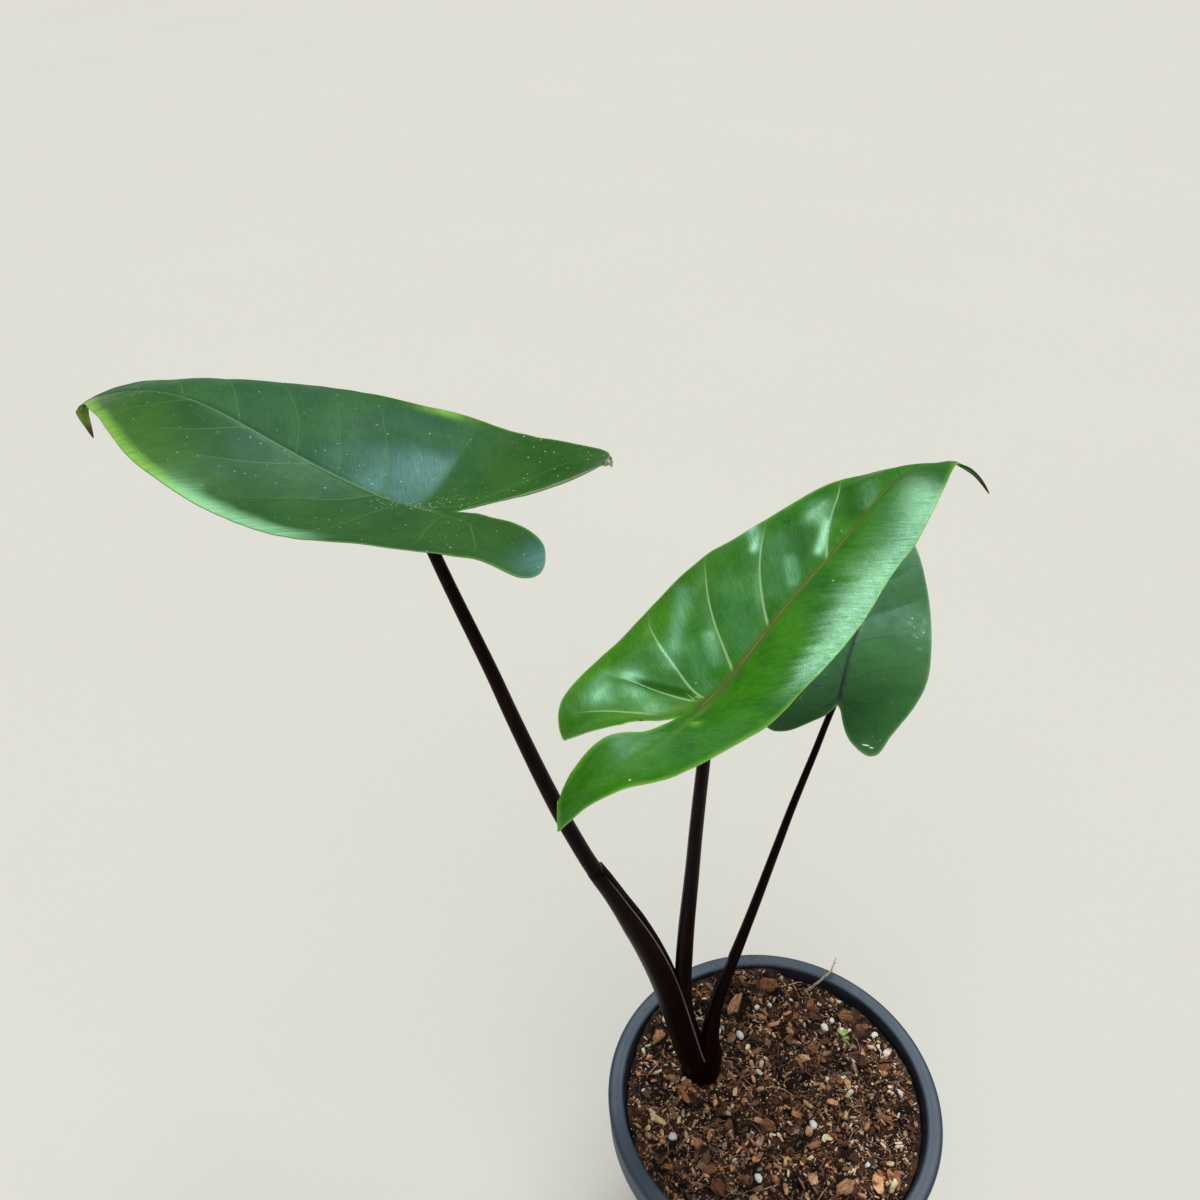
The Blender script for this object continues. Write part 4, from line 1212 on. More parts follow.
def pot(material, segments=168):
    wall = lambda z: inner_radius(z) + WALL
    skirt = POT_HEIGHT - SKIRT
    rows = [(BASE - 1.4, 0.0), (BASE - 0.9, 0.1), (BASE - 0.4, 0.4), (BASE - 0.1, 0.85), (BASE, 1.4)]
    rows += [(wall(z), z) for z in np.linspace(4, skirt + 2, 26)]
    rows += [(wall(POT_HEIGHT - 2.8), POT_HEIGHT - 2.8), (wall(POT_HEIGHT - 2.4) + 0.5, POT_HEIGHT - 2.4),
             (RIM - 2.5, POT_HEIGHT - 2.4), (RIM - 2.0, POT_HEIGHT - 2.7), (RIM - 2.1, POT_HEIGHT - 6),
             (RIM - 2.3, skirt + 0.6), (RIM - 2.15, skirt + 0.15), (RIM - 1.8, skirt), (RIM - 1.15, skirt),
             (RIM - 0.85, skirt + 0.15), (RIM - 0.7, skirt + 0.5), (RIM - 0.55, skirt + 3.2),
             (RIM - 0.35, skirt + 6.5), (RIM - 0.15, skirt + 9.5), (RIM, POT_HEIGHT - 1.5),
             (RIM - 0.05, POT_HEIGHT - 1.0), (RIM - 0.25, POT_HEIGHT - 0.5), (RIM - 0.6, POT_HEIGHT - 0.17),
             (RIM - 1.1, POT_HEIGHT - 0.02), (RIM - 1.6, POT_HEIGHT)]
    rows += [(r, POT_HEIGHT - 0.06 * math.sin((r - 56) * 1.4) ** 2) for r in np.linspace(RIM - 2.3, LIP_INNER + 1.5, 5)]
    rows += [(LIP_INNER + 0.9, POT_HEIGHT - 0.05), (LIP_INNER + 0.45, POT_HEIGHT - 0.25),
             (LIP_INNER + 0.12, POT_HEIGHT - 0.65), (LIP_INNER, POT_HEIGHT - 1.2)]
    for z in np.linspace(POT_HEIGHT - 1.8, 92, 26):
        rows.append((inner_radius(z) - 0.05 * (0.5 + 0.5 * math.sin(z * 3.1)) - 0.03, z))
    rows += [(inner_radius(z), z) for z in np.linspace(86, FLOOR + 2, 16)]
    rows += [(FLOOR_INNER - 0.5, FLOOR + 0.55), (FLOOR_INNER - 1.6, FLOOR)]
    rows = np.array(rows)
    a = np.arange(segments) * 2 * np.pi / segments
    verts = np.stack([rows[:, :1] * np.cos(a), rows[:, :1] * np.sin(a), np.repeat(rows[:, 1:], segments, 1)], -1)
    ids = np.arange(len(rows) * segments).reshape(len(rows), segments)
    nxt = np.roll(ids, -1, axis=1)
    quads = [np.stack([ids[:-1], nxt[:-1], nxt[1:], ids[1:]], -1).reshape(-1, 4)]
    verts = [verts.reshape(-1, 3)]
    count, tris = len(rows) * segments, []
    # the two faces of the floor, with the drain holes cut out, and the holes' walls
    side = 40
    t = np.arange(side) * 2 * np.pi / side
    centres = [(i + 0.5) * 2 * np.pi / HOLES for i in range(HOLES)]
    loops = []
    for level, (ring, z, up) in enumerate(((ids[0], 0.0, False), (ids[-1], FLOOR, True))):
        outer = verts[0][ring][:, :2]
        points, known = [Vector(p) for p in outer], list(ring)
        edges = [(k, (k + 1) % segments) for k in range(segments)]
        level_loops = []
        for c in centres:
            start = len(points)
            grow = 1.0 if level else 1.04
            hole = np.stack([HOLE_CIRCLE * math.cos(c) + HOLE_RADIUS * grow * np.cos(t),
                             HOLE_CIRCLE * math.sin(c) + HOLE_RADIUS * grow * np.sin(t)], 1)
            points += [Vector(p) for p in hole]
            known += list(range(count, count + side))
            verts.append(np.hstack([hole, np.full((side, 1), z)]))
            level_loops.append(np.arange(count, count + side))
            count += side
            edges += [(start + k, start + (k + 1) % side) for k in range(side)]
        loops.append(level_loops)
        made = delaunay_2d_cdt(points, edges, [], 0, 1e-6)
        known = np.array(known)
        origin = [o[0] for o in made[3]]
        mids = []
        for f in made[2]:
            m = sum((made[0][k] for k in f), Vector((0, 0))) / len(f)
            if m.length > outer[0].dot(outer[0]) ** 0.5 or any(
                    (m - Vector((HOLE_CIRCLE * math.cos(c), HOLE_CIRCLE * math.sin(c)))).length < HOLE_RADIUS * 0.99
                    for c in centres):
                continue
            g = [known[origin[k]] for k in f]
            p = [made[0][k] for k in f]
            turn = (p[1] - p[0]).x * (p[2] - p[0]).y - (p[1] - p[0]).y * (p[2] - p[0]).x
            tris.append(g if (turn > 0) == up else g[::-1])
    for low, high in zip(*loops):
        quads.append(np.stack([low, high, np.roll(high, -1), np.roll(low, -1)], 1))
    me = new_mesh("nursery_pot", np.vstack(verts), np.vstack(quads), np.array(tris))
    me.polygons.foreach_set("use_smooth", np.array([len(p.vertices) == 4 for p in me.polygons]))
    me.update()
    place(me, [material], "pot_plastic", ["pot"])


pot(pot_plastic())


# ---------------------------------------------------------------- potting mix
def soil_height(x, y):
    r, a = np.hypot(x, y), np.arctan2(y, x)
    edge = smooth(30, 53, r)
    heap = np.exp(-(((a - 1.95) / 0.75) ** 4))
    dip = np.exp(-(((a - 1.2) / 0.16) ** 2))
    bank = 6.4 * smooth(1.30, 1.42, a) * (1 - smooth(2.45, 2.95, a))
    bank = np.maximum(bank, 3.0 * smooth(-1.0, 0.2, a) * (1 - smooth(1.9, 2.2, a)))
    right = np.exp(-(((a - 0.6) / 0.6) ** 2))
    lumps = (0.5 * np.sin(0.31 * x + 0.7) * np.cos(0.27 * y - 0.4) + 0.35 * np.sin(0.62 * x - 0.38 * y + 2.1)
             + 0.25 * np.cos(0.21 * x + 0.71 * y))
    level = np.minimum(6.3, edge * (6.3 * heap - 3.5 * dip + 1.5 * right) + lumps)
    wall = smooth(43, 53.3, r)
    return SOIL_LEVEL + level + wall * np.maximum(0, bank - level)


def rough_height(x, y):
    """The mix's surface with its lumps and gaps."""
    p = np.stack([x, y], 1)
    crumb = np.abs(layers(p / 2.6, 31, 4, 0.6))
    calm = 1 - 0.6 * smooth(44, 53, np.hypot(x, y))
    return soil_height(x, y) + calm * (1.5 * layers(p / 6.0, 30, 2) + 2.3 * (crumb - 0.28)) + 0.35 * noise(p / 0.55, 37)


def mix_material(name, wet):
    n = Nodes(name)
    tone = n.attr("tone", "Color")
    where = metres(n)
    coarse = n.noise(n.scaled(where, (520, 520, 520)), 1.0, 5.0, 0.7)
    fine = n.noise(n.scaled(where, (2400, 2400, 2400)), 1.0, 3.0, 0.6)
    color = n.mix(n.span(coarse, 0.35, 0.75, 0.0, 0.75), tone, n.mix(1.0, tone, rgb(150, 134, 126), "MULTIPLY"))
    color = n.mix(n.span(fine, 0.55, 0.8, 0.0, 0.22), color, rgb(166, 130, 100))
    rough = n.span(fine, 0.3, 0.7, wet, 0.97)
    normal = n.bump(coarse, 0.6, 0.0005)
    normal = n.bump(fine, 0.5, 0.0002, normal)
    return n.finish(color, rough, normal, Specular_IOR_Level=0.3)


def tones(count, seed, weights):
    """Random colours from a palette of mix, peat, bark and fibre."""
    palette = np.array([rgb(26, 17, 13), rgb(52, 35, 26), rgb(94, 66, 48), rgb(132, 95, 70), rgb(170, 129, 96),
                        rgb(200, 160, 124), rgb(224, 192, 158), rgb(160, 108, 72), rgb(122, 78, 52),
                        rgb(166, 146, 134), rgb(234, 228, 220)])
    rng = np.random.RandomState(seed)
    k = rng.choice(len(palette), count, p=np.array(weights) / np.sum(weights))
    c = palette[k].copy()
    c[:, :3] *= rng.uniform(0.75, 1.25, (count, 1))
    return np.clip(c, 0, 1)


def soil(material, rings=132, segments=330):
    outer = inner_radius(SOIL_LEVEL) - GAP - 0.1
    f = (np.arange(rings) + 1) / rings
    a = np.arange(segments) * 2 * np.pi / segments
    r = np.repeat(f[:, None] * outer, segments, 1)
    x, y = (r * np.cos(a)).ravel(), (r * np.sin(a)).ravel()
    z = rough_height(x, y)
    far = np.hypot(x, y)
    z[far > outer - 0.4] -= 0.4
    out = 1 + (inner_radius(z) - inner_radius(SOIL_LEVEL)) / outer * smooth(outer - 3, outer, far)
    x, y = x * out, y * out
    verts = [np.array([[0, 0, rough_height(np.zeros(1), np.zeros(1))[0]]]), np.stack([x, y, z], 1)]
    ids = 1 + np.arange(rings * segments).reshape(rings, segments)
    nxt = np.roll(ids, -1, axis=1)
    quads = [np.stack([ids[:-1], ids[1:], nxt[1:], nxt[:-1]], -1).reshape(-1, 4)]
    tris = [np.stack([np.zeros(segments, int), ids[0], nxt[0]], 1)]
    count, last = 1 + rings * segments, ids[-1]
    for z0, inset in ((92.0, 0.1), (60.0, 0.1), (FLOOR + 6, 0.1), (FLOOR + GAP, 3.4)):
        q = inner_radius(z0) - GAP - inset
        verts.append(np.stack([q * np.cos(a), q * np.sin(a), np.full(segments, z0)], 1))
        new = np.arange(count, count + segments)
        count += segments
        quads.append(np.stack([last, new, np.roll(new, -1), np.roll(last, -1)], 1))
        last = new
    verts.append(np.array([[0, 0, FLOOR + GAP]]))
    tris.append(np.stack([np.full(segments, count), np.roll(last, -1), last], 1))
    verts = np.vstack(verts)
    me = new_mesh("potting_mix_surface", verts, np.vstack(quads), np.vstack(tris))
    shade = layers(verts[:, :2] / 3.0, 41, 3)
    k = smooth(-0.25, 0.35, shade)[:, None]
    hollow = smooth(-0.9, 0.7, verts[:, 2] - soil_height(verts[:, 0], verts[:, 1]))[:, None]
    tone = (np.array(rgb(30, 20, 15)) * (1 - k) + np.array(rgb(96, 67, 50)) * k) * (0.2 + 0.9 * hollow)
    tone[:, 3] = 1
    attach(me, "tone", tone)
    place(me, [material], "mix", ["potting_mix"])


def ball(level):
    """An icosphere as (unit vertices, triangles)."""
    g = (1 + 5 ** 0.5) / 2
    v = [(-1, g, 0), (1, g, 0), (-1, -g, 0), (1, -g, 0), (0, -1, g), (0, 1, g), (0, -1, -g), (0, 1, -g),
         (g, 0, -1), (g, 0, 1), (-g, 0, -1), (-g, 0, 1)]
    f = [(0, 11, 5), (0, 5, 1), (0, 1, 7), (0, 7, 10), (0, 10, 11), (1, 5, 9), (5, 11, 4), (11, 10, 2), (10, 7, 6),
         (7, 1, 8), (3, 9, 4), (3, 4, 2), (3, 2, 6), (3, 6, 8), (3, 8, 9), (4, 9, 5), (2, 4, 11), (6, 2, 10),
         (8, 6, 7), (9, 8, 1)]
    v = [tuple(p) for p in unit(np.array(v, float))]
    for _ in range(level):
        cache, new = {}, []

        def middle(p, q):
            key = (min(p, q), max(p, q))
            if key not in cache:
                cache[key] = len(v)
                v.append(tuple(unit(np.array(v[p]) + np.array(v[q]))))
            return cache[key]

        for p, q, r in f:
            s, t, u = middle(p, q), middle(q, r), middle(r, p)
            new += [(p, s, u), (q, t, s), (r, u, t), (s, t, u)]
        f = new
    return np.array(v), np.array(f)


def turned(rng, count):
    """Random rotation matrices."""
    q = unit(rng.normal(size=(count, 4)))
    w, x, y, z = q.T
    return np.stack([1 - 2 * (y * y + z * z), 2 * (x * y - z * w), 2 * (x * z + y * w),
                     2 * (x * y + z * w), 1 - 2 * (x * x + z * z), 2 * (y * z - x * w),
                     2 * (x * z - y * w), 2 * (y * z + x * w), 1 - 2 * (x * x + y * y)], 1).reshape(-1, 3, 3)


def scatter(rng, count, margin, keep=6.5):
    """Places on the mix, clear of the stalks."""
    out = np.zeros((0, 2))
    while len(out) < count:
        p = rng.uniform(-54, 54, (count * 2, 2))
        ok = (np.hypot(p[:, 0], p[:, 1]) < inner_radius(SOIL_LEVEL) - GAP - margin) & (
            np.hypot(p[:, 0] - CROWN[0], p[:, 1] - CROWN[1]) > keep)
        for grain in GRAINS:
            ok &= np.hypot(p[:, 0] - grain[1], p[:, 1] - grain[2]) > 0.42 * grain[3] + 0.35 * margin
        out = np.vstack([out, p[ok]])
    return out[:count]


def crumbs(material, name, count, level, low, high, thin, seed, weights, sink, square=1.0):
    """Loose chips and crumbs on the mix: low to high mm long, mostly lying flat."""
    rng = np.random.RandomState(seed)
    v, f = ball(level)
    v = np.sign(v) * np.abs(v) ** square
    size = low + (high - low) * rng.rand(count) ** 2.4
    shape = np.stack([rng.uniform(0.9, 1.6, count), rng.uniform(0.32, 0.8, count), rng.uniform(thin, 0.6, count)], 1)
    spot_xy = scatter(rng, count, high * 0.5)
    p = v[None] * (1 + rng.uniform(-0.22, 0.22, (count, len(v), 1)))
    p = p * (shape * size[:, None] / 2)[:, None, :]
    p[:, :, 2] += 0.25 * size[:, None] * np.sin(p[:, :, 0] / size[:, None] * 2.5) * rng.uniform(-1, 1, (count, 1))
    yaw, tilt = rng.uniform(0, 2 * np.pi, count), rng.normal(0, 0.5, count)
    flat = np.zeros((count, 3, 3))
    flat[:, 0] = np.stack([np.cos(yaw) * np.cos(tilt), -np.sin(yaw), np.cos(yaw) * np.sin(tilt)], 1)
    flat[:, 1] = np.stack([np.sin(yaw) * np.cos(tilt), np.cos(yaw), np.sin(yaw) * np.sin(tilt)], 1)
    flat[:, 2] = np.stack([-np.sin(tilt), np.zeros(count), np.cos(tilt)], 1)
    turn = np.where((rng.rand(count) < 0.35)[:, None, None], turned(rng, count), flat)
    p = np.einsum("nij,nkj->nki", turn, p)
    under = 0.5 + 0.55 * smooth(-0.3, 0.2, p[:, :, 2] / size[:, None])
    hollow = smooth(-1.0, 0.9, rough_height(spot_xy[:, 0], spot_xy[:, 1]) - soil_height(spot_xy[:, 0], spot_xy[:, 1]))
    pale = 1 + 0.24 * smooth(-25.0, 15.0, spot_xy[:, 0]) + 1.7 * np.exp(-((spot_xy[:, 0] - -42.8) ** 2 + (spot_xy[:, 1] - 30.2) ** 2) / 12.0 ** 2)
    tone = np.repeat(tones(count, seed + 1, weights)[:, None, :], len(v), 1)
    tone[:, :, :3] *= (under * ((0.52 + 1.65 * hollow) * pale)[:, None])[:, :, None]
    tone = np.clip(tone, 0, 1)
    z = rough_height(spot_xy[:, 0], spot_xy[:, 1]) + size * (0.2 - sink)
    z = np.minimum(z, POT_HEIGHT - 0.2 - size * 0.2)
    p = p + np.concatenate([spot_xy, z[:, None]], 1)[:, None, :]
    r = np.hypot(p[:, :, 0], p[:, :, 1])
    over = np.maximum(r / (inner_radius(np.clip(p[:, :, 2], 60, POT_HEIGHT - 1.2)) - 0.15), 1)
    p[:, :, :2] = p[:, :, :2] / over[:, :, None]
    faces = (f[None] + (np.arange(count) * len(v))[:, None, None]).reshape(-1, 3)
    me = new_mesh(name, p.reshape(-1, 3), None, faces, flat=True)
    attach(me, "tone", tone.reshape(-1, 4))
    place(me, [material], "mix")


def fibres(material, count, seed):
    """Coir and root fibres lying in the mix, as bent strands with five sides."""
    rng = np.random.RandomState(seed)
    verts, quads, tone, base = [], [], [], 0
    spots = scatter(rng, count, 3.0)
    shades = tones(count, seed + 1, [1, 2, 4, 6, 6, 4, 3, 2, 2, 2, 0.5])
    for k in range(count):
        n = 7
        size = rng.uniform(2.5, 9.0) if k % 5 else rng.uniform(8, 15)
        heading, bend = rng.uniform(0, 2 * np.pi), rng.uniform(-1.4, 1.4)
        t = np.linspace(-0.5, 0.5, n)
        angle = heading + bend * t
        step = size / (n - 1)
        px = spots[k, 0] + np.cumsum(np.cos(angle)) * step - np.sum(np.cos(angle)) * step / 2
        py = spots[k, 1] + np.cumsum(np.sin(angle)) * step - np.sum(np.sin(angle)) * step / 2
        r = np.hypot(px, py)
        over = np.maximum(r / (inner_radius(SOIL_LEVEL) - 1.2), 1)
        px, py = px / over, py / over
        pz = rough_height(px, py)
        pz = np.convolve(np.pad(pz, 1, mode="edge"), [0.25, 0.5, 0.25], mode="valid") + rng.uniform(0.0, 0.5)
        pz += rng.uniform(0, 1.1) * np.abs(t * 2) ** 2 * (rng.rand() < 0.4)
        c = np.stack([px, py, pz], 1)
        d = unit(np.gradient(c, axis=0))
        side = unit(np.cross(d, [0.1, 0.2, 1.0]))
        up = np.cross(side, d)
        thick = rng.uniform(0.09, 0.26) * (1 - 0.6 * np.abs(t * 2) ** 3)
        for i in range(n):
            a = np.arange(4) * np.pi / 2
            verts.append(c[i] + thick[i] * (np.cos(a)[:, None] * side[i] + np.sin(a)[:, None] * up[i]))
        ids = base + np.arange(n * 4).reshape(n, 4)
        nx = np.roll(ids, -1, axis=1)
        quads.append(np.stack([ids[:-1], nx[:-1], nx[1:], ids[1:]], -1).reshape(-1, 4))
        quads.append(np.array([ids[0, ::-1], ids[-1]]))
        tone.append(np.repeat(shades[k][None], n * 4, 0))
        base += n * 4
    me = new_mesh("mix_fibres", np.vstack(verts), np.vstack(quads))
    attach(me, "tone", np.vstack(tone))
    place(me, [material], "mix")


MIX = mix_material("mix", 0.8)
soil(MIX)
crumbs(MIX, "mix_chips", 440, 1, 1.7, 4.8, 0.2, 3, [3, 5, 6, 7, 7, 6, 3.6, 2.8, 3, 2.2, 0.35], 0.05, 0.7)
crumbs(MIX, "mix_crumbs", 2400, 1, 0.8, 2.5, 0.28, 5, [5, 6, 7, 7, 7, 5.5, 3.4, 2.2, 2, 3, 0.8], 0.0, 0.8)
crumbs(MIX, "mix_dust", 7000, 0, 0.4, 1.25, 0.3, 7, [3, 5, 6, 7, 7, 6, 4.6, 2, 2, 4, 2.0], -0.1)
fibres(MIX, 620, 9)


# ---------------------------------------------------------------- grains, bark, rootlet and sprout
def hull_piece(node, material, slot, level, change, name):
    """A fine lump that follows a CAD grain's hull, roughened by change(direction, point, size)."""
    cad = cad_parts[node]
    co = np.zeros(len(cad.data.vertices) * 3, np.float32)
    cad.data.vertices.foreach_get("co", co)
    co = co.reshape(-1, 3).astype(float) / MM
    faces = [tuple(p.vertices) for p in cad.data.polygons]
    tree = BVHTree.FromPolygons([Vector(c) for c in co], faces)
    lo, hi = co.min(0), co.max(0)
    centre = (lo + hi) / 2
    spread = co - co.mean(0)
    axes = np.linalg.svd(spread, full_matrices=False)[2]
    size = (hi - lo).max()
    v, f = ball(level)
    out = []
    for d in v:
        hit = tree.ray_cast(Vector(centre + d * size * 3), Vector(-d))
        out.append(np.linalg.norm(np.array(hit[0]) - centre) if hit[0] is not None else size / 3)
    r = np.array(out)
    neighbours = [set() for _ in v]
    for a, b, c in f:
        neighbours[a] |= {b, c}
        neighbours[b] |= {a, c}
        neighbours[c] |= {a, b}
    for _ in range(2):
        r = np.array([0.5 * r[k] + 0.5 * r[list(neighbours[k])].mean() for k in range(len(v))])
    p = centre + v * r[:, None]
    p = centre + (p - centre) * (1 + change(v, p - centre, axes)[:, None])
    me = new_mesh(name, p, None, f)
    attach(me, "local", np.stack([(p - centre) @ axes[0], (p - centre) @ axes[1], (p - centre) @ axes[2]], 1) + centre.sum())
    place(me, [material], slot, [node])


def perlite_material():
    n = Nodes("perlite")
    p = n.attr("local")
    pores = n.cells(n.scaled(p, (2.3, 2.3, 2.3)), 1.0, "F1")
    soot = n.noise(n.scaled(p, (0.9, 0.9, 0.9)), 1.0, 4.0, 0.65)
    color = n.ramp(pores, [(0.0, rgb(244, 242, 238)), (0.3, rgb(254, 254, 254)), (0.8, rgb(255, 255, 255))])
    color = n.mix(n.span(soot, 0.62, 0.8, 0.0, 0.3), color, rgb(176, 156, 136))
    normal = n.bump(pores, 0.5, 0.0004)
    return n.finish(color, n.span(soot, 0.3, 0.7, 0.72, 0.9), normal, Specular_IOR_Level=0.7,
                    Sheen_Weight=1.0, Sheen_Roughness=0.6)


def bark_material(name, dark, mid, pale):
    n = Nodes(name)
    p = n.attr("local")
    grain = n.noise(n.scaled(p, (0.35, 2.6, 2.6)), 1.0, 4.0, 0.6)
    patch = n.noise(n.scaled(p, (0.4, 0.6, 0.6)), 1.0, 4.0, 0.6)
    color = n.ramp(grain, [(0.28, dark), (0.5, mid), (0.75, pale)])
    color = n.mix(n.span(patch, 0.5, 0.72, 0.0, 0.7), color, dark)
    normal = n.bump(grain, 0.7, 0.0006)
    return n.finish(color, n.span(grain, 0.3, 0.7, 0.75, 0.92), normal, Specular_IOR_Level=0.25)


PERLITE = perlite_material()
BARKS = [bark_material("bark_tan", rgb(104, 70, 48), rgb(188, 138, 98), rgb(228, 186, 142)),
         bark_material("bark_red", rgb(56, 34, 26), rgb(112, 70, 50), rgb(156, 106, 78)),
         bark_material("bark_orange", rgb(80, 50, 34), rgb(142, 96, 64), rgb(186, 140, 102))]
numbers = {"perlite": 0, "bark_chip": 0}
for k, grain in enumerate(GRAINS):
    kind = grain[0]
    numbers[kind] += 1
    node = "%s_%d" % (kind, numbers[kind])
    if kind == "perlite":
        bumpy = lambda v, p, axes, s=k: (0.12 * layers(v * 2.1 + s * 5.1, 50 + s, 3, 0.6)
                                         - 0.10 * np.maximum(0, noise(v * 4.3 + s, 70 + s)) ** 1.5)
        hull_piece(node, PERLITE, "perlite", 3, bumpy, "perlite_grain_%d" % numbers[kind])
    else:
        torn = lambda v, p, axes, s=k: (
            0.16 * noise(np.stack([p @ axes[0] * 0.12, p @ axes[1] * 1.3, p @ axes[2] * 1.6], 1) + s, 90 + s)
            + 0.09 * noise(np.stack([p @ axes[0] * 0.5, p @ axes[1] * 2.9, p @ axes[2] * 3.1], 1) + s, 91 + s)
            + 0.07 * layers(p * 0.5 + s, 92 + s, 2))
        hull_piece(node, BARKS[(0, 0, 2, 1, 2, 2, 0, 1, 2)[(numbers[kind] - 1) % 9]], "bark", 4, torn,
                   "bark_piece_%d" % numbers[kind])


def strand(points, radii, sides, stations, wobble, seed):
    s = np.linspace(0, 1, stations + 1)
    c = along(points, s)
    d = unit(along(points, np.minimum(1, s + 0.02)) - along(points, np.maximum(0, s - 0.02)))
    lead = np.array([0.3, 1.0, 0.2])
    x = unit(lead - d * (d @ lead)[:, None])
    y = np.cross(d, x)
    r = table(radii, s)
    a = np.arange(sides) * 2 * np.pi / sides
    ring = c[:, None] + r[:, None, None] * (np.cos(a)[None, :, None] * x[:, None] + np.sin(a)[None, :, None] * y[:, None])
    flat = ring.reshape(-1, 3)
    k = np.stack([np.repeat(s, sides) * stations * 0.35, np.tile(np.cos(a), len(s)) * 1.2, np.tile(np.sin(a), len(s)) * 1.2], 1)
    flat = flat + (flat - np.repeat(c, sides, 0)) * (wobble * noise(k, seed))[:, None]
    ids = np.arange(len(flat)).reshape(stations + 1, sides)
    nx = np.roll(ids, -1, axis=1)
    quads = np.stack([ids[:-1], nx[:-1], nx[1:], ids[1:]], -1).reshape(-1, 4)
    tris = [[ids[0, 0], ids[0, j + 1], ids[0, j]] for j in range(1, sides - 1)]
    tris += [[ids[-1, 0], ids[-1, j], ids[-1, j + 1]] for j in range(1, sides - 1)]
    local = np.stack([np.tile(np.cos(a), len(s)) * 0.5, np.tile(np.sin(a), len(s)) * 0.5, np.repeat(s, sides) * 12], 1)
    return flat, quads, np.array(tris), local


def joined(name, pieces, material, slot, replaced):
    verts, quads, tris, local, base = [], [], [], [], 0
    for v, q, t, l in pieces:
        verts.append(v)
        quads.append(q + base)
        tris.append(t + base)
        local.append(l)
        base += len(v)
    me = new_mesh(name, np.vstack(verts), np.vstack(quads), np.vstack(tris))
    attach(me, "local", np.vstack(local))
    place(me, [material], slot, replaced)


def root_material():
    n = Nodes("dry_root")
    p = n.attr("local")
    grain = n.noise(n.scaled(p, (3.0, 3.0, 1.2)), 1.0, 4.0, 0.6)
    color = n.ramp(grain, [(0.3, rgb(150, 132, 108)), (0.55, rgb(206, 194, 168)), (0.8, rgb(234, 226, 206))])
    return n.finish(color, n.span(grain, 0.3, 0.7, 0.7, 0.9), n.bump(grain, 0.5, 0.0003), Specular_IOR_Level=0.25)


def sprout_material():
    n = Nodes("sprout")
    p = n.attr("local")
    grain = n.noise(n.scaled(p, (1.6, 1.6, 0.5)), 1.0, 3.0, 0.5)
    height = n.parts(p)[2]
    color = n.ramp(grain, [(0.3, rgb(150, 190, 96)), (0.7, rgb(204, 226, 146))])
    color = n.mix(n.span(height, 0.0, 6.0, 0.9, 0.0), color, rgb(226, 216, 168))
    return n.finish(color, n.span(grain, 0.3, 0.7, 0.4, 0.6), n.bump(grain, 0.3, 0.0002))


root_points = np.array(ROOTLET, float)
side_1 = [root_points[5], root_points[5] + [-0.6, 0.6, 1.2], root_points[5] + [-0.9, 1.4, 2.6]]
side_2 = [root_points[7], root_points[7] + [1.0, 0.3, 0.3], root_points[7] + [1.9, 0.9, 0.1]]
joined("rootlet", [strand(ROOTLET, [[0, 0.5], [0.2, 0.6], [0.7, 0.42], [1, 0.16]], 12, 90, 0.45, 61),
                   strand(side_1, [[0, 0.22], [1, 0.06]], 8, 16, 0.4, 62),
                   strand(side_2, [[0, 0.2], [1, 0.05]], 8, 16, 0.4, 63)],
       root_material(), "dry_root", ["dry_rootlet"])

shoot = np.array(SEEDLING, float)


def tiny_leaf(start, direction, size, seed):
    """A little cupped leaf, as a thin closed plate."""
    direction = unit(np.array(direction, float))
    side = unit(np.cross(direction, [0, 0, 1.0]))
    up = np.cross(side, direction)
    rows, cols = 12, 8
    u = np.linspace(0, 1, rows + 1)[:, None]
    v = np.linspace(-1, 1, cols + 1)[None]
    w = size * 0.42 * np.sin(np.pi * np.clip(u, 0, 1) ** 0.8) ** 0.8 + 0.02
    p = (np.array(start) + (u * size)[..., None] * direction + (v * w)[..., None] * side
         + (size * (0.35 * u ** 2 * 0.6 + 0.22 * np.abs(v) ** 2 * w / size * 2))[..., None] * up)
    top = p.reshape(-1, 3)
    low = top - 0.14 * up
    ids = np.arange(len(top)).reshape(rows + 1, cols + 1)
    q = np.stack([ids[:-1, :-1], ids[:-1, 1:], ids[1:, 1:], ids[1:, :-1]], -1).reshape(-1, 4)
    e = open_edges(q, np.zeros((0, 3), int))
    n = len(top)
    quads = np.vstack([q, q[:, ::-1] + n, np.stack([e[:, 1], e[:, 0], n + e[:, 0], n + e[:, 1]], 1)])
    local = np.vstack([top, low]) - np.array(start) + [0, 0, 6]
    return np.vstack([top, low]), quads, np.zeros((0, 3), int), local


joined("sprout", [strand(SEEDLING, [[0, 0.42], [0.5, 0.34], [1, 0.2]], 12, 30, 0.15, 64),
                  tiny_leaf(shoot[-1], (-0.7, -0.2, 0.7), 3.6, 1), tiny_leaf(shoot[-1], (0.8, -0.1, 0.5), 3.2, 2),
                  tiny_leaf(shoot[3], (0.2, -0.8, 0.6), 3.2, 3), tiny_leaf(shoot[2], (-0.9, -0.2, 0.5), 2.2, 4)],
       sprout_material(), "sprout", ["seedling"])


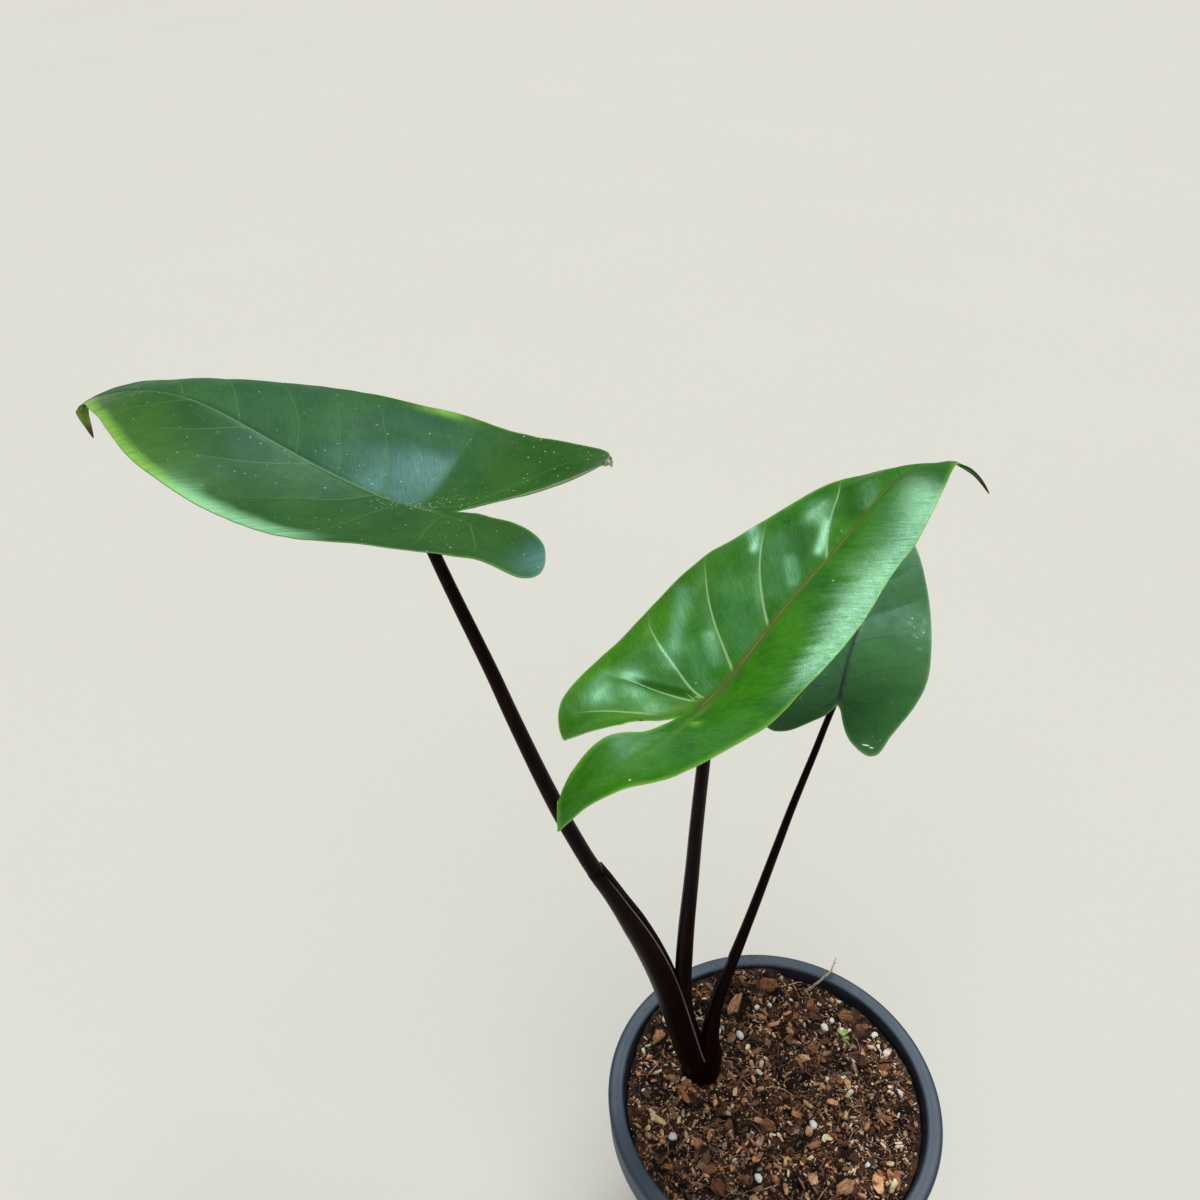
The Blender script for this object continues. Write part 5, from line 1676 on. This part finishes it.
def corm(material):
    """The short stem in the mix, ringed with old leaf scars, with stubs of roots."""
    profile = np.array([[0.05, -30], [3.2, -29], [5.6, -25], [7.0, -18], [7.9, -9], [7.7, -3], [7.2, 0], [0.05, 0]], float)
    t = np.linspace(0, 1, 90)
    rr = np.interp(t, np.linspace(0, 1, len(profile)), profile[:, 0])
    zz = np.interp(t, np.linspace(0, 1, len(profile)), profile[:, 1])
    segments = 72
    a = np.arange(segments) * 2 * np.pi / segments
    grid = np.stack([np.repeat(rr, segments), np.tile(a, 90), np.repeat(zz, segments)], 1)
    scar = 0.25 * np.sin(grid[:, 2] * 1.7 + 1.2 * np.sin(grid[:, 1])) ** 3
    lump = 0.35 * layers(np.stack([np.cos(grid[:, 1]) * 2, np.sin(grid[:, 1]) * 2, grid[:, 2] / 5], 1), 81, 3)
    r = np.maximum(0.03, grid[:, 0] + (scar + lump) * smooth(0, 3, grid[:, 0]))
    verts = np.stack([CROWN[0] + r * np.cos(grid[:, 1]), CROWN[1] + r * np.sin(grid[:, 1]),
                      CROWN_TOP - GAP + grid[:, 2]], 1)
    ids = np.arange(len(verts)).reshape(90, segments)
    nx = np.roll(ids, -1, axis=1)
    quads = np.stack([ids[:-1], nx[:-1], nx[1:], ids[1:]], -1).reshape(-1, 4)
    tris = [[ids[0, 0], ids[0, j + 1], ids[0, j]] for j in range(1, segments - 1)]
    tris += [[ids[-1, 0], ids[-1, j], ids[-1, j + 1]] for j in range(1, segments - 1)]
    joined("corm", [(verts, quads, np.array(tris), np.stack([grid[:, 1] * 6, grid[:, 2], grid[:, 0]], 1))],
           material, "corm", ["stem_base"])


corm(bark_material("corm_skin", rgb(52, 34, 26), rgb(92, 62, 44), rgb(138, 104, 76)))


# ---------------------------------------------------------------- floor, light and finish
def floor():
    n = Nodes("studio_floor")
    where = metres(n)
    cloud = n.noise(n.scaled(where, (3, 3, 3)), 1.0, 3.0, 0.5)
    color = n.ramp(cloud, [(0.3, rgb(226, 224, 216)), (0.7, rgb(228, 226, 218))])
    material = n.finish(color, n.span(cloud, 0.3, 0.7, 0.85, 0.9), None, Specular_IOR_Level=0.2)
    size = 9000.0
    me = new_mesh("floor", np.array([[-size, -size, 0], [size, -size, 0], [size, size, 0], [-size, size, 0]]),
                  np.array([[0, 1, 2, 3]]), flat=True)
    me.materials.append(material)
    obj = bpy.data.objects.new("floor", me)
    scene.collection.objects.link(obj)


def soft_sun(name, azimuth, elevation, spread, strength, colour):
    """A distant soft light, spread degrees wide. Azimuth is from +Y towards +X, as the plant sees it."""
    a, e = math.radians(azimuth), math.radians(elevation)
    out = Vector((math.sin(a) * math.cos(e), math.cos(a) * math.cos(e), math.sin(e)))
    data = bpy.data.lights.new(name, "SUN")
    data.energy = strength
    data.angle = math.radians(spread)
    data.color = colour
    obj = bpy.data.objects.new(name, data)
    obj.location = out * 2
    obj.rotation_mode = "QUATERNION"
    obj.rotation_quaternion = out.to_track_quat("Z", "Y")
    scene.collection.objects.link(obj)


floor()
soft_sun("window_low", 5, 49, 17, 0.45, (0.98, 1.0, 1.0))
soft_sun("window_mid", 14, 60, 19, 0.6, (0.98, 1.0, 1.0))
soft_sun("window_high", 29, 66, 22, 0.75, (0.98, 1.0, 1.0))
soft_sun("window_top", 40, 76, 16, 0.4, (0.98, 1.0, 1.0))
soft_sun("room", 178, 62, 60, 0.95, (1.0, 0.96, 0.90))
world = bpy.data.worlds.new("studio")
world.use_nodes = True
world.node_tree.nodes["Background"].inputs[0].default_value = (0.92, 0.95, 1.0, 1.0)
world.node_tree.nodes["Background"].inputs[1].default_value = 0.12
scene.world = world
scene.view_settings.view_transform = "Standard"
